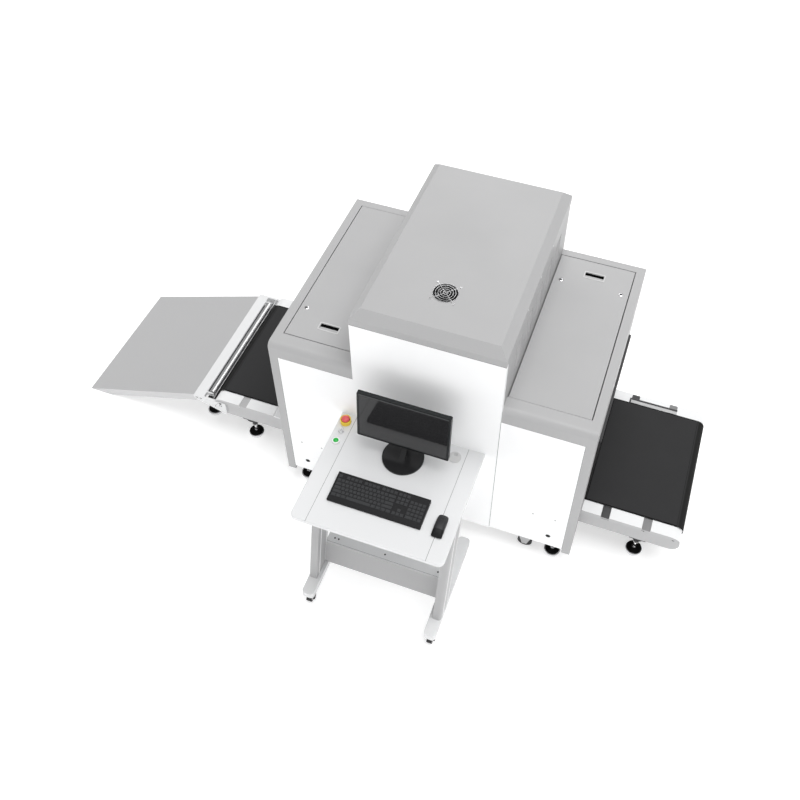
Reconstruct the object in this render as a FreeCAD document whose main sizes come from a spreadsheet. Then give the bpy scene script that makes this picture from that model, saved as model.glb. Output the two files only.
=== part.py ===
import FreeCAD, Part
import math
import os
from types import SimpleNamespace

import Sketcher
from FreeCAD import Placement, Rotation, Vector

# A baggage x-ray scanner: a housing with a tall middle tower, a belt conveyor that runs
# through it and out at both ends, a ramp up to the belt, and the operator's desk in front.
# X runs along the belt, Y from the operator to the back, Z up from the floor.
# The origin lies on the floor, in the middle of the ground that the whole machine covers.

SIZES = {
    # Tower
    "tower_width": 705,
    "tower_depth": 1118,
    "tower_top": 1484,
    "cap_chamfer": 41,
    "cap_height": 78,
    "cap_sheet": 3,
    "panel_bottom": 130,
    "panel_depth": 26,
    "side_panel": 20,
    # Vents in the sides of the tower
    "vent_count": 5,
    "vent_pitch": 171,
    "vent_width": 92,
    "vent_share": 0.512,
    "vent_level": 0.536,
    "blade_count": 8,
    "blade_sheet": 2.5,
    "blade_rise": 15,
    # Cooling fan in the top of the tower
    "fan_place": 249,
    "fan_side": 120,
    "fan_depth": 25,
    "fan_bore": 110,
    "fan_gap": 5,
    "fan_hub": 42,
    "guard_wire": 2.4,
    "guard_rings": 5,
    # Hood over the tunnel, on both sides of the tower
    "hood_length": 1555,
    "hood_depth": 1106,
    "hood_setback": 6,
    "hood_top": 1113,
    "hood_edge": 30,
    "shoulder_height": 86,
    "frame_band": 43,
    "frame_bottom": 98,
    "bay_depth": 150,
    "bay_floor": 20,
    "ledge": 13,
    # Lids over the service bays
    "lid_front": 87,
    "lid_back": 1054,
    "lid_seam": 5,
    "lid_thick": 24,
    "lid_pin": 2.4,
    "pull_length": 105,
    "pull_width": 48,
    "pull_rim": 6,
    "pull_depth": 16,
    "pull_dish": 5,
    "pull_place": 193,
    "pull_inset": 97,
    # Base
    "beam_bottom": 112,
    "beam_height": 70,
    "beam_width": 60,
    "cross_beam": 50,
    # Tunnel and its curtains
    "tunnel_width": 690,
    "tunnel_top": 807,
    "tunnel_wall": 10,
    "mouth_slack": 12,
    "curtain_thick": 5,
    "curtain_slack": 5,
    "clamp_height": 30,
    "clamp_depth": 12,
    "seat_gap": 0.3,
    # Conveyor
    "belt_middle": 560,
    "belt_width": 680,
    "belt_top": 307,
    "belt_thick": 3,
    "overhang": 463.5,
    "drum_radius": 36,
    "axle_radius": 9,
    "bed_thick": 12,
    "rail_spread": 800,
    "rail_tip": 36,
    "rail_bottom": 182,
    "rail_top": 292,
    "rail_sheet": 4,
    "rail_flange": 58,
    "rail_foot": 40,
    "rail_nose": 50,
    "cover_thick": 10,
    "cover_lip": 8,
    "cover_drop": 12,
    "member_width": 43,
    "member_height": 30,
    "outer_setback": 138,
    "inner_offset": 120.5,
    "feet_setback": 161,
    # Transfer roller and ramp
    "bar_offset": 163,
    "bar_width": 59,
    "bar_top": 278,
    "bar_thick": 20,
    "arm_thick": 12,
    "arm_reach": 194,
    "roller_offset": 77,
    "roller_radius": 20,
    "roller_top": 285,
    "roller_inset": 42,
    "pin_radius": 6,
    "lug_thick": 6,
    "pan_drop": 26,
    "pan_edge": 10,
    "ramp_length": 746,
    "ramp_top": 270,
    "ramp_sheet": 4,
    "ramp_flange": 52,
    # Levelling feet and casters
    "pad_radius": 42,
    "pad_height": 24,
    "pad_rim": 14,
    "stem_radius": 8,
    "nut_radius": 14,
    "nut_height": 10,
    "bracket_thick": 6,
    "foot_inset": 45,
    "housing_foot": 685,
    "housing_caster": 540,
    "caster_radius": 38,
    "caster_width": 30,
    "cheek_thick": 4,
    "cheek_gap": 5,
    # Desk
    "desk_middle": -60.6,
    "desk_width": 716,
    "desk_depth": 606,
    "desk_top": 760,
    "board_thick": 25,
    "desk_corner": 28,
    "board_edge": 5,
    "strip_width": 78,
    "groove": 2,
    "leg_inset": 35,
    "leg_width": 42,
    "leg_front": 553,
    "leg_back": 437,
    "leg_top_front": 387,
    "leg_top_back": 260,
    "leg_edge": 14,
    "flute": 8,
    "bar_inset": 43,
    "foot_width": 60,
    "foot_front": 641,
    "foot_back": 84,
    "foot_top": 109,
    "foot_height": 40,
    "foot_corner": 18,
    "stretcher_overlap": 14,
    "stretcher_depth": 70,
    "stretcher_height": 125,
    "desk_caster_front": 598,
    "desk_caster_back": 130,
    "desk_wheel": 24,
    "desk_wheel_width": 26,
    "desk_trail": 14,
    "fork_cheek": 8,
    "desk_pin": 5,
    # Controls on the desk
    "control_inset": 38.6,
    "stop_back": 52,
    "key_back": 108,
    "start_back": 170,
    "stop_base": 26,
    "stop_height": 24,
    "stop_floor": 14,
    "stop_wall": 4,
    "stop_cap": 17,
    "stop_travel": 6,
    "bezel_height": 9,
    "start_bezel": 17.5,
    "start_radius": 12.5,
    "start_travel": 3,
    "key_bezel": 14,
    "key_radius": 8,
    "key_rise": 3,
    "grommet_inset": 126.4,
    "grommet_back": 66,
    "grommet_radius": 30,
    "grommet_lip": 3,
    # Monitor, keyboard and mouse
    "screen_shift": 7.6,
    "screen_width": 440,
    "screen_height": 282,
    "screen_depth": 20,
    "screen_front": 157,
    "screen_bottom": 854,
    "screen_tilt": 4.5,
    "stand_back": 148,
    "stand_radius": 98,
    "stand_thick": 9,
    "shell_depth": 14,
    "pivot_radius": 7,
    "pivot_gap": 22,
    "pivot_share": 0.42,
    "neck_half": 13,
    "lug_wide": 12,
    "keys_shift": -11.4,
    "keys_front": 477,
    "keys_length": 441,
    "keys_width": 147,
    "keys_low": 14,
    "keys_high": 24,
    "mouse_shift": 286.6,
    "mouse_front": 490,
    "mouse_length": 114,
    "mouse_width": 52,
    "mouse_height": 34,
}

DOC = FreeCAD.newDocument("baggage_xray_scanner")
SHEET = DOC.addObject("Spreadsheet::Sheet", "Dims")
for row, (alias, value) in enumerate(SIZES.items(), start=1):
    SHEET.set(f"A{row}", alias)
    SHEET.set(f"B{row}", str(value))
    SHEET.setAlias(f"B{row}", alias)
DOC.recompute()


class Size:
    """A length that knows both its number and the sheet formula that gives it."""

    def __init__(self, number, formula):
        self.number = float(number)
        self.formula = formula

    @staticmethod
    def of(value):
        return value if isinstance(value, Size) else Size(value, f"{float(value):.6f}")

    def join(self, sign, other, number):
        return Size(number, f"({self.formula} {sign} {Size.of(other).formula})")

    def __add__(self, other):
        return self.join("+", other, self.number + Size.of(other).number)

    def __sub__(self, other):
        return self.join("-", other, self.number - Size.of(other).number)

    def __mul__(self, other):
        return self.join("*", other, self.number * Size.of(other).number)

    def __truediv__(self, other):
        return self.join("/", other, self.number / Size.of(other).number)

    def __radd__(self, other):
        return Size.of(other) + self

    def __rsub__(self, other):
        return Size.of(other) - self

    def __rmul__(self, other):
        return Size.of(other) * self

    def __neg__(self):
        return Size(-self.number, f"(0 - {self.formula})")

    def __float__(self):
        return self.number


D = SimpleNamespace(**{alias: Size(SHEET.get(alias), f"Dims.{alias}") for alias in SIZES})

# Where each object stands in the machine's own frame, before the shift to the origin
SPOTS = {}
NODES = []

# Places along the belt, all counted from the ends of the hood
drum_reach = D.hood_length / 2 + D.overhang
rail_reach = drum_reach + D.rail_tip
outer_member = drum_reach - D.outer_setback
inner_member = D.hood_length / 2 + D.inner_offset
feet_reach = drum_reach - D.feet_setback
roller_place = drum_reach + D.roller_offset
bar_outer = drum_reach + D.bar_offset
ramp_foot = bar_outer + D.ramp_length
roller_length = D.rail_spread - 2 * D.roller_inset

# Places across the desk, counted from its middle or its edges
leg_spread = D.desk_width - 2 * D.leg_inset
bar_spread = D.desk_width - 2 * D.bar_inset
control_place = D.desk_middle - D.desk_width / 2 + D.control_inset
grommet_place = D.desk_middle + D.desk_width / 2 - D.grommet_inset
screen_place = D.desk_middle + D.screen_shift
keys_place = D.desk_middle + D.keys_shift
mouse_place = D.desk_middle + D.mouse_shift

# The machine's own frame has its zero at the tower's front face and half width
ORIGIN = SimpleNamespace(
    x=(ramp_foot - drum_reach - D.drum_radius - D.belt_thick) / 2,
    y=(D.foot_front - D.tower_depth) / 2,
)


def bind(item, prop, size):
    """Ties one property of an object to the sheet."""
    item.setExpression(prop, Size.of(size).formula)


def stand(item, x=0, y=0, z=0, turn=None):
    """Places an object in the machine's own frame."""
    if turn is not None:
        item.Placement = Placement(Vector(), turn)
    SPOTS[item.Name] = (x, y, z)
    for axis, value in zip("xyz", (x, y, z)):
        bind(item, f"Placement.Base.{axis}", value)
    return item


def node(label, item):
    """Makes an object one of the sub-parts, shifted so that the origin is at its place."""
    item.Label = label
    x, y, z = SPOTS[item.Name]
    for axis, value in zip("xyz", (x + ORIGIN.x, y + ORIGIN.y, z)):
        bind(item, f"Placement.Base.{axis}", value)
    NODES.append(item)
    return item


def box(name, x, y, z):
    """A block between two x values, two y values and two z values."""
    item = DOC.addObject("Part::Box", name)
    for prop, (low, high) in (("Length", x), ("Width", y), ("Height", z)):
        bind(item, prop, high - low)
    return stand(item, x[0], y[0], z[0])


TURNS = {
    "x": Rotation(Vector(0, 1, 0), 90),
    "y": Rotation(Vector(1, 0, 0), -90),
    "z": Rotation(),
}


def rod(name, axis, radius, low, high, first, second):
    """A cylinder along an axis; first and second are the other two coordinates in order."""
    item = DOC.addObject("Part::Cylinder", name)
    bind(item, "Radius", radius)
    bind(item, "Height", high - low)
    spot = {"x": (low, first, second), "y": (first, low, second), "z": (first, second, low)}[axis]
    return stand(item, *spot, turn=TURNS[axis])


def cone(name, bottom, top, low, high, x, y):
    """An upright cone between two heights."""
    item = DOC.addObject("Part::Cone", name)
    bind(item, "Radius1", bottom)
    bind(item, "Radius2", top)
    bind(item, "Height", high - low)
    return stand(item, x, y, low)


def fuse(name, *shapes):
    """Several touching shapes made into one."""
    item = DOC.addObject("Part::MultiFuse", name)
    item.Shapes = list(shapes)
    item.Refine = True
    return stand(item)


def group(name, *shapes):
    """Like pieces that do not touch, kept together."""
    item = DOC.addObject("Part::Compound", name)
    item.Links = list(shapes)
    return stand(item)


def cut(name, base, *tools):
    """A shape with others taken away from it."""
    item = DOC.addObject("Part::Cut", name)
    item.Base = base
    item.Tool = tools[0] if len(tools) == 1 else group(name + "_tools", *tools)
    return stand(item)


def common(name, base, tool):
    """What two shapes share."""
    item = DOC.addObject("Part::Common", name)
    item.Base = base
    item.Tool = tool
    return stand(item)


PLANES = {"xy": "XY_Plane", "xz": "XZ_Plane", "yz": "YZ_Plane"}


def draw(sketch, points):
    """A closed outline with every corner tied to the sheet."""
    spots = [Vector(float(u), float(v), 0) for u, v in points]
    first = sketch.GeometryCount
    count = len(spots)
    for index in range(count):
        sketch.addGeometry(Part.LineSegment(spots[index], spots[(index + 1) % count]), False)
    for index in range(count):
        after = first + (index + 1) % count
        sketch.addConstraint(Sketcher.Constraint("Coincident", first + index, 2, after, 1))
    for index, (u, v) in enumerate(points):
        for kind, value in (("DistanceX", u), ("DistanceY", v)):
            limit = Sketcher.Constraint(kind, -1, 1, first + index, 1, float(value))
            number = sketch.addConstraint(limit)
            bind(sketch, f"Constraints[{number}]", value)


def profile(name, plane, points, start, length, rounds=()):
    """A body padded from an outline on a plane; rounds is a list of (radius, corners)."""
    body = DOC.addObject("PartDesign::Body", name)
    sketch = body.newObject("Sketcher::SketchObject", name + "_outline")
    origin = next(item for item in body.Origin.OriginFeatures if item.Role == PLANES[plane])
    sketch.AttachmentSupport = [(origin, "")]
    sketch.MapMode = "FlatFace"
    draw(sketch, points)
    pad = body.newObject("PartDesign::Pad", name + "_pad")
    pad.Profile = sketch
    bind(pad, "Length", length)
    pad.Reversed = plane == "xz"
    sketch.Visibility = False
    spot = {"xy": (0, 0, start), "xz": (0, start, 0), "yz": (start, 0, 0)}[plane]
    stand(body, *spot)
    for radius, corners in rounds:
        DOC.recompute()
        names = edges_at(body.Tip.Shape, plane, [points[corner] for corner in corners])
        add_fillet(body, names, radius)
    return body


def edges_at(shape, plane, corners):
    """Names of the straight edges that run along the pad at the given corners."""
    pick = {"xy": (0, 1), "xz": (0, 2), "yz": (1, 2)}[plane]
    names = []
    for number, edge in enumerate(shape.Edges, start=1):
        ends = [tuple(vertex.Point)[axis] for vertex in edge.Vertexes for axis in pick]
        for u, v in corners:
            close = [abs(value - float(goal)) < 1e-3 for value, goal in zip(ends, (u, v, u, v))]
            if len(ends) == 4 and all(close):
                names.append(f"Edge{number}")
    return names


def add_fillet(body, names, radius):
    """Rounds the named edges of a body's last feature."""
    base = body.Tip
    fillet = body.newObject("PartDesign::Fillet", f"{body.Name}_round{len(body.Group)}")
    fillet.Base = (base, names)
    bind(fillet, "Radius", radius)
    base.Visibility = False
    return fillet


def round_edges(body, chosen, radius):
    """Rounds the edges of a body for which the test is true."""
    DOC.recompute()
    edges = enumerate(body.Tip.Shape.Edges, start=1)
    return add_fillet(body, [f"Edge{number}" for number, edge in edges if chosen(edge)], radius)


def plate(name, x, y, z, corner):
    """A level plate with its four upright corners rounded."""
    points = [(x[0], y[0]), (x[1], y[0]), (x[1], y[1]), (x[0], y[1])]
    return profile(name, "xy", points, z[0], z[1] - z[0], [(corner, (0, 1, 2, 3))])


# Main levels and faces of the housing
tower_half = D.tower_width / 2
hood_half = D.hood_length / 2
frame_inner = hood_half - D.frame_band
hood_front = D.hood_setback
hood_back = D.hood_setback + D.hood_depth
inner_front = D.panel_depth
inner_back = D.tower_depth - D.panel_depth
shoulder_bottom = D.hood_top - D.shoulder_height
cap_bottom = D.tower_top - D.cap_height
beam_top = D.beam_bottom + D.beam_height
SIDES = (("left", -1), ("right", 1))


def span(side, near, far):
    """Two x values at the same distance on one side of the middle, lower one first."""
    return (near, far) if side > 0 else (-far, -near)


def ends(near_name="front", far_name="back"):
    """The two long sides of the conveyor: name and direction from its middle."""
    return ((near_name, -1), (far_name, 1))


def make_base():
    """A welded frame of two long beams and four cross beams under the housing."""
    height = (D.beam_bottom, beam_top)
    long_beams = [
        box("beam_front", (-frame_inner, frame_inner), (inner_front, inner_front + D.beam_width), height),
        box("beam_back", (-frame_inner, frame_inner), (inner_back - D.beam_width, inner_back), height),
    ]
    reach = (inner_front + D.beam_width, inner_back - D.beam_width)
    cross_beams = []
    for name, side in SIDES:
        outer = span(side, frame_inner - D.cross_beam, frame_inner)
        inner = span(side, tower_half - D.cross_beam, tower_half)
        cross_beams.append(box(f"cross_outer_{name}", outer, reach, height))
        cross_beams.append(box(f"cross_inner_{name}", inner, reach, height))
    brackets = [caster_bracket(*place) for place in caster_places()]
    node("base_frame", fuse("base_frame_solid", *long_beams, *cross_beams, *brackets))


def caster_places():
    """Name, x and y of the four casters under the housing."""
    front = inner_front + D.beam_width / 2
    back = inner_back - D.beam_width / 2
    for row, y in (("front", front), ("back", back)):
        for name, side in SIDES:
            yield f"{row}_{name}", side * D.housing_caster, y


def caster_bracket(name, x, y):
    """Two cheeks with a pin that carry one wheel under the base."""
    half = D.caster_width / 2 + D.cheek_gap
    level = D.caster_radius
    cheeks = []
    for number, side in enumerate((-1, 1)):
        low = half if side > 0 else -(half + D.cheek_thick)
        points = [
            (x - D.pin_radius * 2, level - D.pin_radius * 2),
            (x + D.pin_radius * 2, level - D.pin_radius * 2),
            (x + D.caster_radius, D.beam_bottom + 1),
            (x - D.caster_radius, D.beam_bottom + 1),
        ]
        rounds = [(D.pin_radius, (0, 1))]
        cheeks.append(profile(f"cheek_{name}_{number}", "xz", points, y + low, D.cheek_thick, rounds))
    pin = rod(f"caster_pin_{name}", "y", D.pin_radius, y - half - 1, y + half + 1, x, level)
    return fuse(f"caster_bracket_{name}", *cheeks, pin)


def make_casters():
    """The four wheels under the housing, each on its own pin."""
    for name, x, y in caster_places():
        half = D.caster_width / 2
        tyre = rod(f"tyre_{name}", "y", D.caster_radius, y - half, y + half, x, D.caster_radius)
        bore = rod(f"wheel_bore_{name}", "y", D.pin_radius + D.seat_gap, y - half - 1, y + half + 1,
                   x, D.caster_radius)
        dish = rod(f"dish_{name}", "y", D.caster_radius * 0.62, y - half - 1, y - half + 4,
                   x, D.caster_radius)
        hub = rod(f"hub_{name}", "y", D.pin_radius * 2, y - half - 1, y - half + 4, x, D.caster_radius)
        recess = cut(f"recess_{name}", dish, hub)
        node(f"caster_wheel_{name}", cut(f"wheel_{name}", tyre, bore, recess))


def make_tower():
    """The tower's panels, its vented sides and its chamfered cap."""
    width = (-tower_half, tower_half)
    height = (D.panel_bottom, cap_bottom)
    node("tower_front_panel", box("front_slab", width, (0, D.panel_depth), height))
    node("tower_back_panel", box("back_slab", width, (inner_back, D.tower_depth), height))
    sides = [side_panel(name, side) for name, side in SIDES]
    node("tower_side_panels", group("side_panel_pair", *sides))
    make_cap()


def side_panel(name, side):
    """One upper side of the tower, with a row of windows that hold slanted louvre blades."""
    bottom = D.hood_top - D.bay_depth - D.bay_floor
    outside = side * tower_half
    inside = side * (tower_half - D.side_panel)
    x = span(side, tower_half - D.side_panel, tower_half)
    slab = box(f"side_slab_{name}", x, (inner_front, inner_back), (bottom, cap_bottom))
    rise = cap_bottom - D.hood_top
    height = rise * D.vent_share
    low = D.hood_top + rise * D.vent_level - height / 2
    row = D.vent_pitch * (D.vent_count - 1) + D.vent_width
    start = (D.tower_depth - row) / 2
    windows = []
    for vent in range(int(D.vent_count.number)):
        y = start + D.vent_pitch * vent
        windows.append(box(f"window_{name}_{vent}", x, (y, y + D.vent_width), (low, low + height)))
    blades = []
    step = height / D.blade_count
    for blade in range(int(D.blade_count.number)):
        z = low + step * (blade + 0.5) - (D.blade_rise + D.blade_sheet) / 2
        section = [
            (outside, z), (outside, z + D.blade_sheet),
            (inside, z + D.blade_rise + D.blade_sheet), (inside, z + D.blade_rise),
        ]
        blades.append(profile(f"louvre_{name}_{blade}", "xz", section, start, row))
    openings = group(f"windows_{name}", *windows)
    grille = common(f"grille_{name}", group(f"louvres_{name}", *blades), openings)
    return fuse(f"side_{name}", cut(f"side_cut_{name}", slab, openings), grille)


def make_cap():
    """The sheet cap of the tower: chamfered on four sides, open below, with the fan's hole."""
    points = [(-tower_half, 0), (tower_half, 0), (tower_half, D.tower_depth), (-tower_half, D.tower_depth)]
    body = profile("cap", "xy", points, cap_bottom, D.cap_height)
    DOC.recompute()
    base = body.Tip
    top = D.cap_height.number
    names = [f"Edge{number}" for number, edge in enumerate(base.Shape.Edges, start=1)
             if all(abs(vertex.Z - top) < 1e-3 for vertex in edge.Vertexes)]
    chamfer = body.newObject("PartDesign::Chamfer", "cap_slope")
    chamfer.Base = (base, names)
    bind(chamfer, "Size", D.cap_chamfer)
    DOC.recompute()
    faces = enumerate(chamfer.Shape.Faces, start=1)
    below = [f"Face{number}" for number, face in faces if face.BoundBox.ZMax < 1e-3]
    shell = body.newObject("PartDesign::Thickness", "cap_shell")
    shell.Base = (chamfer, below)
    shell.Reversed = True
    bind(shell, "Value", D.cap_sheet)
    below_sheet = D.tower_top - 2 * D.cap_sheet
    hole = rod("fan_hole", "z", D.fan_bore / 2, below_sheet, D.tower_top + 1, 0, D.fan_place)
    node("tower_cap", cut("cap_with_hole", body, hole))


def make_fan():
    """The fan under the cap: its square frame with a motor, its rotor, and the wire guard."""
    half = D.fan_side / 2
    top = D.tower_top - D.cap_sheet
    low = top - D.fan_depth
    motor = D.fan_hub / 2
    y = D.fan_place
    square = plate("fan_square", (-half, half), (y - half, y + half), (low, top), D.fan_gap)
    bore = rod("fan_frame_bore", "z", D.fan_bore / 2, low - 1, top + 1, 0, y)
    ring = cut("fan_ring", square, bore)
    strut = D.fan_gap / 2
    struts = [
        box("strut_x", (-D.fan_bore / 2 - 1, D.fan_bore / 2 + 1), (y - strut, y + strut), (low, low + strut)),
        box("strut_y", (-strut, strut), (y - D.fan_bore / 2 - 1, y + D.fan_bore / 2 + 1), (low, low + strut)),
    ]
    mount = rod("motor", "z", motor, low, low + strut, 0, y)
    node("fan_frame", fuse("fan_frame_solid", ring, *struts, mount))
    foot = low + strut + D.seat_gap
    hub = rod("fan_hub_solid", "z", motor, foot, top - D.fan_gap, 0, y)
    blades = []
    count = 7
    for number in range(count):
        blade = DOC.addObject("Part::Box", f"blade_{number}")
        bind(blade, "Length", D.fan_bore / 2)
        bind(blade, "Width", D.fan_depth)
        bind(blade, "Height", D.fan_gap / 3)
        turn = Rotation(Vector(0, 0, 1), 360 * number / count) * Rotation(Vector(1, 0, 0), 35)
        stand(blade, 0, y, foot + 1, turn)
        blades.append(blade)
    sweep = rod("blade_sweep", "z", D.fan_bore / 2 - D.fan_gap, foot, top - D.fan_gap, 0, y)
    trimmed = common("blades_trimmed", fuse("blades", *blades), sweep)
    node("fan_rotor", fuse("fan_rotor_solid", hub, trimmed))
    make_guard()


def make_guard():
    """Concentric wire rings on two crossed wires, with four fixing eyes."""
    low = D.tower_top
    wire = D.guard_wire
    reach = D.fan_side / 2 - D.guard_wire
    y = D.fan_place
    parts = []
    for number in range(int(D.guard_rings.number)):
        outer = reach * (number + 1) / D.guard_rings
        disc = rod(f"ring_{number}", "z", outer, low, low + wire, 0, y)
        inside = rod(f"ring_in_{number}", "z", outer - wire, low - 1, low + wire + 1, 0, y)
        parts.append(cut(f"wire_{number}", disc, inside))
    for number, angle in enumerate((45, 135)):
        bar = DOC.addObject("Part::Box", f"guard_bar_{number}")
        length = (D.fan_side / 2 - D.fan_gap) * 2 * math.sqrt(2)
        bind(bar, "Length", length)
        bind(bar, "Width", wire)
        bind(bar, "Height", wire)
        turn = Rotation(Vector(0, 0, 1), angle)
        away = turn.multVec(Vector(-length.number / 2, -wire.number / 2, 0))
        cosine = math.cos(math.radians(angle))
        sine = math.sin(math.radians(angle))
        x_shift = length * (-cosine / 2) + wire * (sine / 2)
        y_shift = length * (-sine / 2) - wire * (cosine / 2)
        assert abs(away.x - x_shift.number) < 1e-6
        stand(bar, x_shift, y + y_shift, low, turn)
        parts.append(bar)
    eye = D.fan_side / 2 - D.fan_gap * 1.5
    for number, (across, along) in enumerate(((-1, -1), (1, -1), (1, 1), (-1, 1))):
        parts.append(rod(f"eye_{number}", "z", D.fan_gap, low, low + wire, across * eye, y + along * eye))
    node("fan_guard", fuse("fan_guard_solid", *parts))


def make_hood():
    """End frames, front and back panels, shoulders with the service bays, and the lids."""
    for name, side in SIDES:
        end_frame(name, side)
        shoulder(name, side)
        lid(name, side)
    for row, y in (("front", (hood_front, inner_front)), ("back", (inner_back, hood_back))):
        panels = []
        for name, side in SIDES:
            x = span(side, tower_half, frame_inner)
            panels.append(box(f"hood_{row}_{name}", x, y, (D.panel_bottom, shoulder_bottom)))
        node(f"hood_{row}_panels", group(f"hood_{row}_pair", *panels))
    make_clamps()


def end_frame(name, side):
    """The end of the hood: an upside-down U with the tunnel's mouth."""
    low = D.belt_middle - D.rail_spread / 2 - D.mouth_slack
    high = D.belt_middle + D.rail_spread / 2 + D.mouth_slack
    sill = D.rail_top + D.cover_thick + D.belt_thick
    left = D.belt_middle - D.tunnel_width / 2
    right = D.belt_middle + D.tunnel_width / 2
    points = [
        (hood_front, D.frame_bottom), (low, D.frame_bottom), (low, sill), (left, sill),
        (left, D.tunnel_top), (right, D.tunnel_top), (right, sill), (high, sill),
        (high, D.frame_bottom), (hood_back, D.frame_bottom), (hood_back, D.hood_top),
        (hood_front, D.hood_top),
    ]
    x = span(side, frame_inner, hood_half)
    body = profile(f"frame_{name}", "yz", points, x[0], D.frame_band, [(D.hood_edge, (10, 11))])
    node(f"end_frame_{name}", body)


def make_clamps():
    """The bars across the tops of the mouths that hold the curtains."""
    half = D.tunnel_width / 2 - D.curtain_slack
    bottom = curtain_axis() + D.curtain_thick / 2 + D.seat_gap
    bars = []
    for name, side in SIDES:
        x = span(side, hood_half, hood_half + D.clamp_depth)
        y = (D.belt_middle - half, D.belt_middle + half)
        bars.append(box(f"clamp_{name}", x, y, (bottom, bottom + D.clamp_height)))
    node("curtain_clamps", group("clamp_pair", *bars))


def curtain_axis():
    """Height of the line that a curtain swings about, below the top of the mouth."""
    return D.tunnel_top - D.curtain_thick * 2


def shoulder(name, side):
    """The grey top of one hood side: rounded edges, a ledge for the lid and the bay below it."""
    ledge_top = D.hood_top - D.lid_thick
    floor = D.hood_top - D.bay_depth
    under = floor - D.bay_floor
    bay_front = D.lid_front + D.lid_seam + D.ledge
    bay_back = D.lid_back - D.lid_seam - D.ledge
    points = [
        (hood_front, shoulder_bottom), (hood_front, D.hood_top), (D.lid_front, D.hood_top),
        (D.lid_front, ledge_top), (bay_front, ledge_top), (bay_front, floor), (bay_back, floor),
        (bay_back, ledge_top), (D.lid_back, ledge_top), (D.lid_back, D.hood_top),
        (hood_back, D.hood_top), (hood_back, shoulder_bottom), (inner_back, shoulder_bottom),
        (inner_back, under), (inner_front, under), (inner_front, shoulder_bottom),
    ]
    x = span(side, tower_half, frame_inner)
    body = profile(f"shoulder_{name}", "yz", points, x[0], x[1] - x[0], [(D.hood_edge, (1, 10))])
    node(f"hood_top_{name}", body)


def lid(name, side):
    """A lid with a recessed pull at its free edge and a hinge pin along the other edge."""
    x = span(side, tower_half + D.lid_seam, frame_inner - D.lid_seam)
    y = (D.lid_front + D.lid_seam, D.lid_back - D.lid_seam)
    z = (D.hood_top - D.lid_thick + D.seat_gap, D.hood_top)
    slab = box(f"lid_slab_{name}", x, y, z)
    pin_y, pull_y = hinge_line(side)
    pin = rod(f"lid_pin_{name}", "x", D.lid_pin, x[0], x[1], pin_y, D.hood_top)
    pull_x = side * (tower_half + D.pull_place)
    half_length = D.pull_length / 2
    half_width = D.pull_width / 2
    rim = plate(f"pull_rim_{name}", (pull_x - half_length, pull_x + half_length),
                (pull_y - half_width, pull_y + half_width),
                (D.hood_top - D.pull_rim, D.hood_top + D.pull_rim / 4), D.pull_rim)
    inner_length = half_length - D.pull_rim
    inner_width = half_width - D.pull_rim
    wide = (pull_x - inner_length, pull_x + inner_length)
    above = D.hood_top + D.pull_rim
    dish = box(f"pull_dish_{name}", wide, (pull_y - inner_width, pull_y + inner_width),
               (D.hood_top - D.pull_dish, above))
    slot = box(f"pull_slot_{name}", wide, (pull_y, pull_y + inner_width), (D.hood_top - D.pull_depth, above))
    node(f"lid_{name}", cut(f"lid_solid_{name}", fuse(f"lid_full_{name}", slab, pin, rim), dish, slot))


def hinge_line(side):
    """The y of a lid's hinge and of its pull: the left lid opens at the front, the right at the back."""
    reach = D.lid_pin - D.seat_gap
    if side < 0:
        return D.lid_back - D.lid_seam + reach, D.lid_front + D.pull_inset + D.lid_seam
    return D.lid_front + D.lid_seam - reach, D.lid_back - D.pull_inset - D.lid_seam


def make_tunnel():
    """The shielded tunnel inside the housing, and a curtain at each of its mouths."""
    half = D.tunnel_width / 2
    outer = half + D.tunnel_wall
    y = D.belt_middle
    points = [
        (y - outer, D.rail_top), (y - half, D.rail_top), (y - half, D.tunnel_top),
        (y + half, D.tunnel_top), (y + half, D.rail_top), (y + outer, D.rail_top),
        (y + outer, D.tunnel_top + D.tunnel_wall), (y - outer, D.tunnel_top + D.tunnel_wall),
    ]
    node("tunnel_liner", profile("tunnel", "yz", points, -frame_inner, frame_inner * 2))
    axis = curtain_axis()
    radius = D.curtain_thick / 2
    wide = (y - half + D.curtain_slack, y + half - D.curtain_slack)
    for name, side in SIDES:
        middle = side * curtain_reach()
        x = (middle - radius, middle + radius)
        sheet = box(f"curtain_sheet_{name}", x, wide, (D.belt_top + D.curtain_slack, axis))
        bead = rod(f"curtain_bead_{name}", "y", radius, wide[0], wide[1], middle, axis)
        node(f"curtain_{name}", fuse(f"curtain_solid_{name}", sheet, bead))


def curtain_reach():
    """Distance of a curtain from the middle of the machine."""
    return hood_half + D.curtain_thick


def stadium(name, reach, radius, level, y):
    """A long block with round ends, lying along the belt."""
    middle = box(f"{name}_middle", (-reach, reach), y, (level - radius, level + radius))
    caps = [rod(f"{name}_end_{side_name}", "y", radius, y[0], y[1], side * reach, level)
            for side_name, side in SIDES]
    return fuse(name, middle, *caps)


def make_conveyor():
    """Belt, drums, sliding bed, cross members, side rails and the covers beside the belt."""
    half = D.belt_width / 2
    y = (D.belt_middle - half, D.belt_middle + half)
    level = D.belt_top - D.belt_thick - D.drum_radius
    outer = stadium("belt_outer", drum_reach, D.drum_radius + D.belt_thick, level, y)
    inner = stadium("belt_inner", drum_reach, D.drum_radius, level, (y[0] - 1, y[1] + 1))
    node("belt", cut("belt_loop", outer, inner))
    node("belt_drums", group("drum_pair", *[drum(name, side, level) for name, side in SIDES]))
    bed_top = D.belt_top - D.belt_thick
    bed_low = bed_top - D.bed_thick
    bed_end = drum_reach - D.drum_radius - D.member_width / 2
    inside = (y[0] + D.belt_thick, y[1] - D.belt_thick)
    node("slider_bed", box("bed", (-bed_end, bed_end), inside, (bed_low, bed_top)))
    make_members(bed_low)
    for row, side in ends():
        rail(row, side)
    make_covers()


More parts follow.
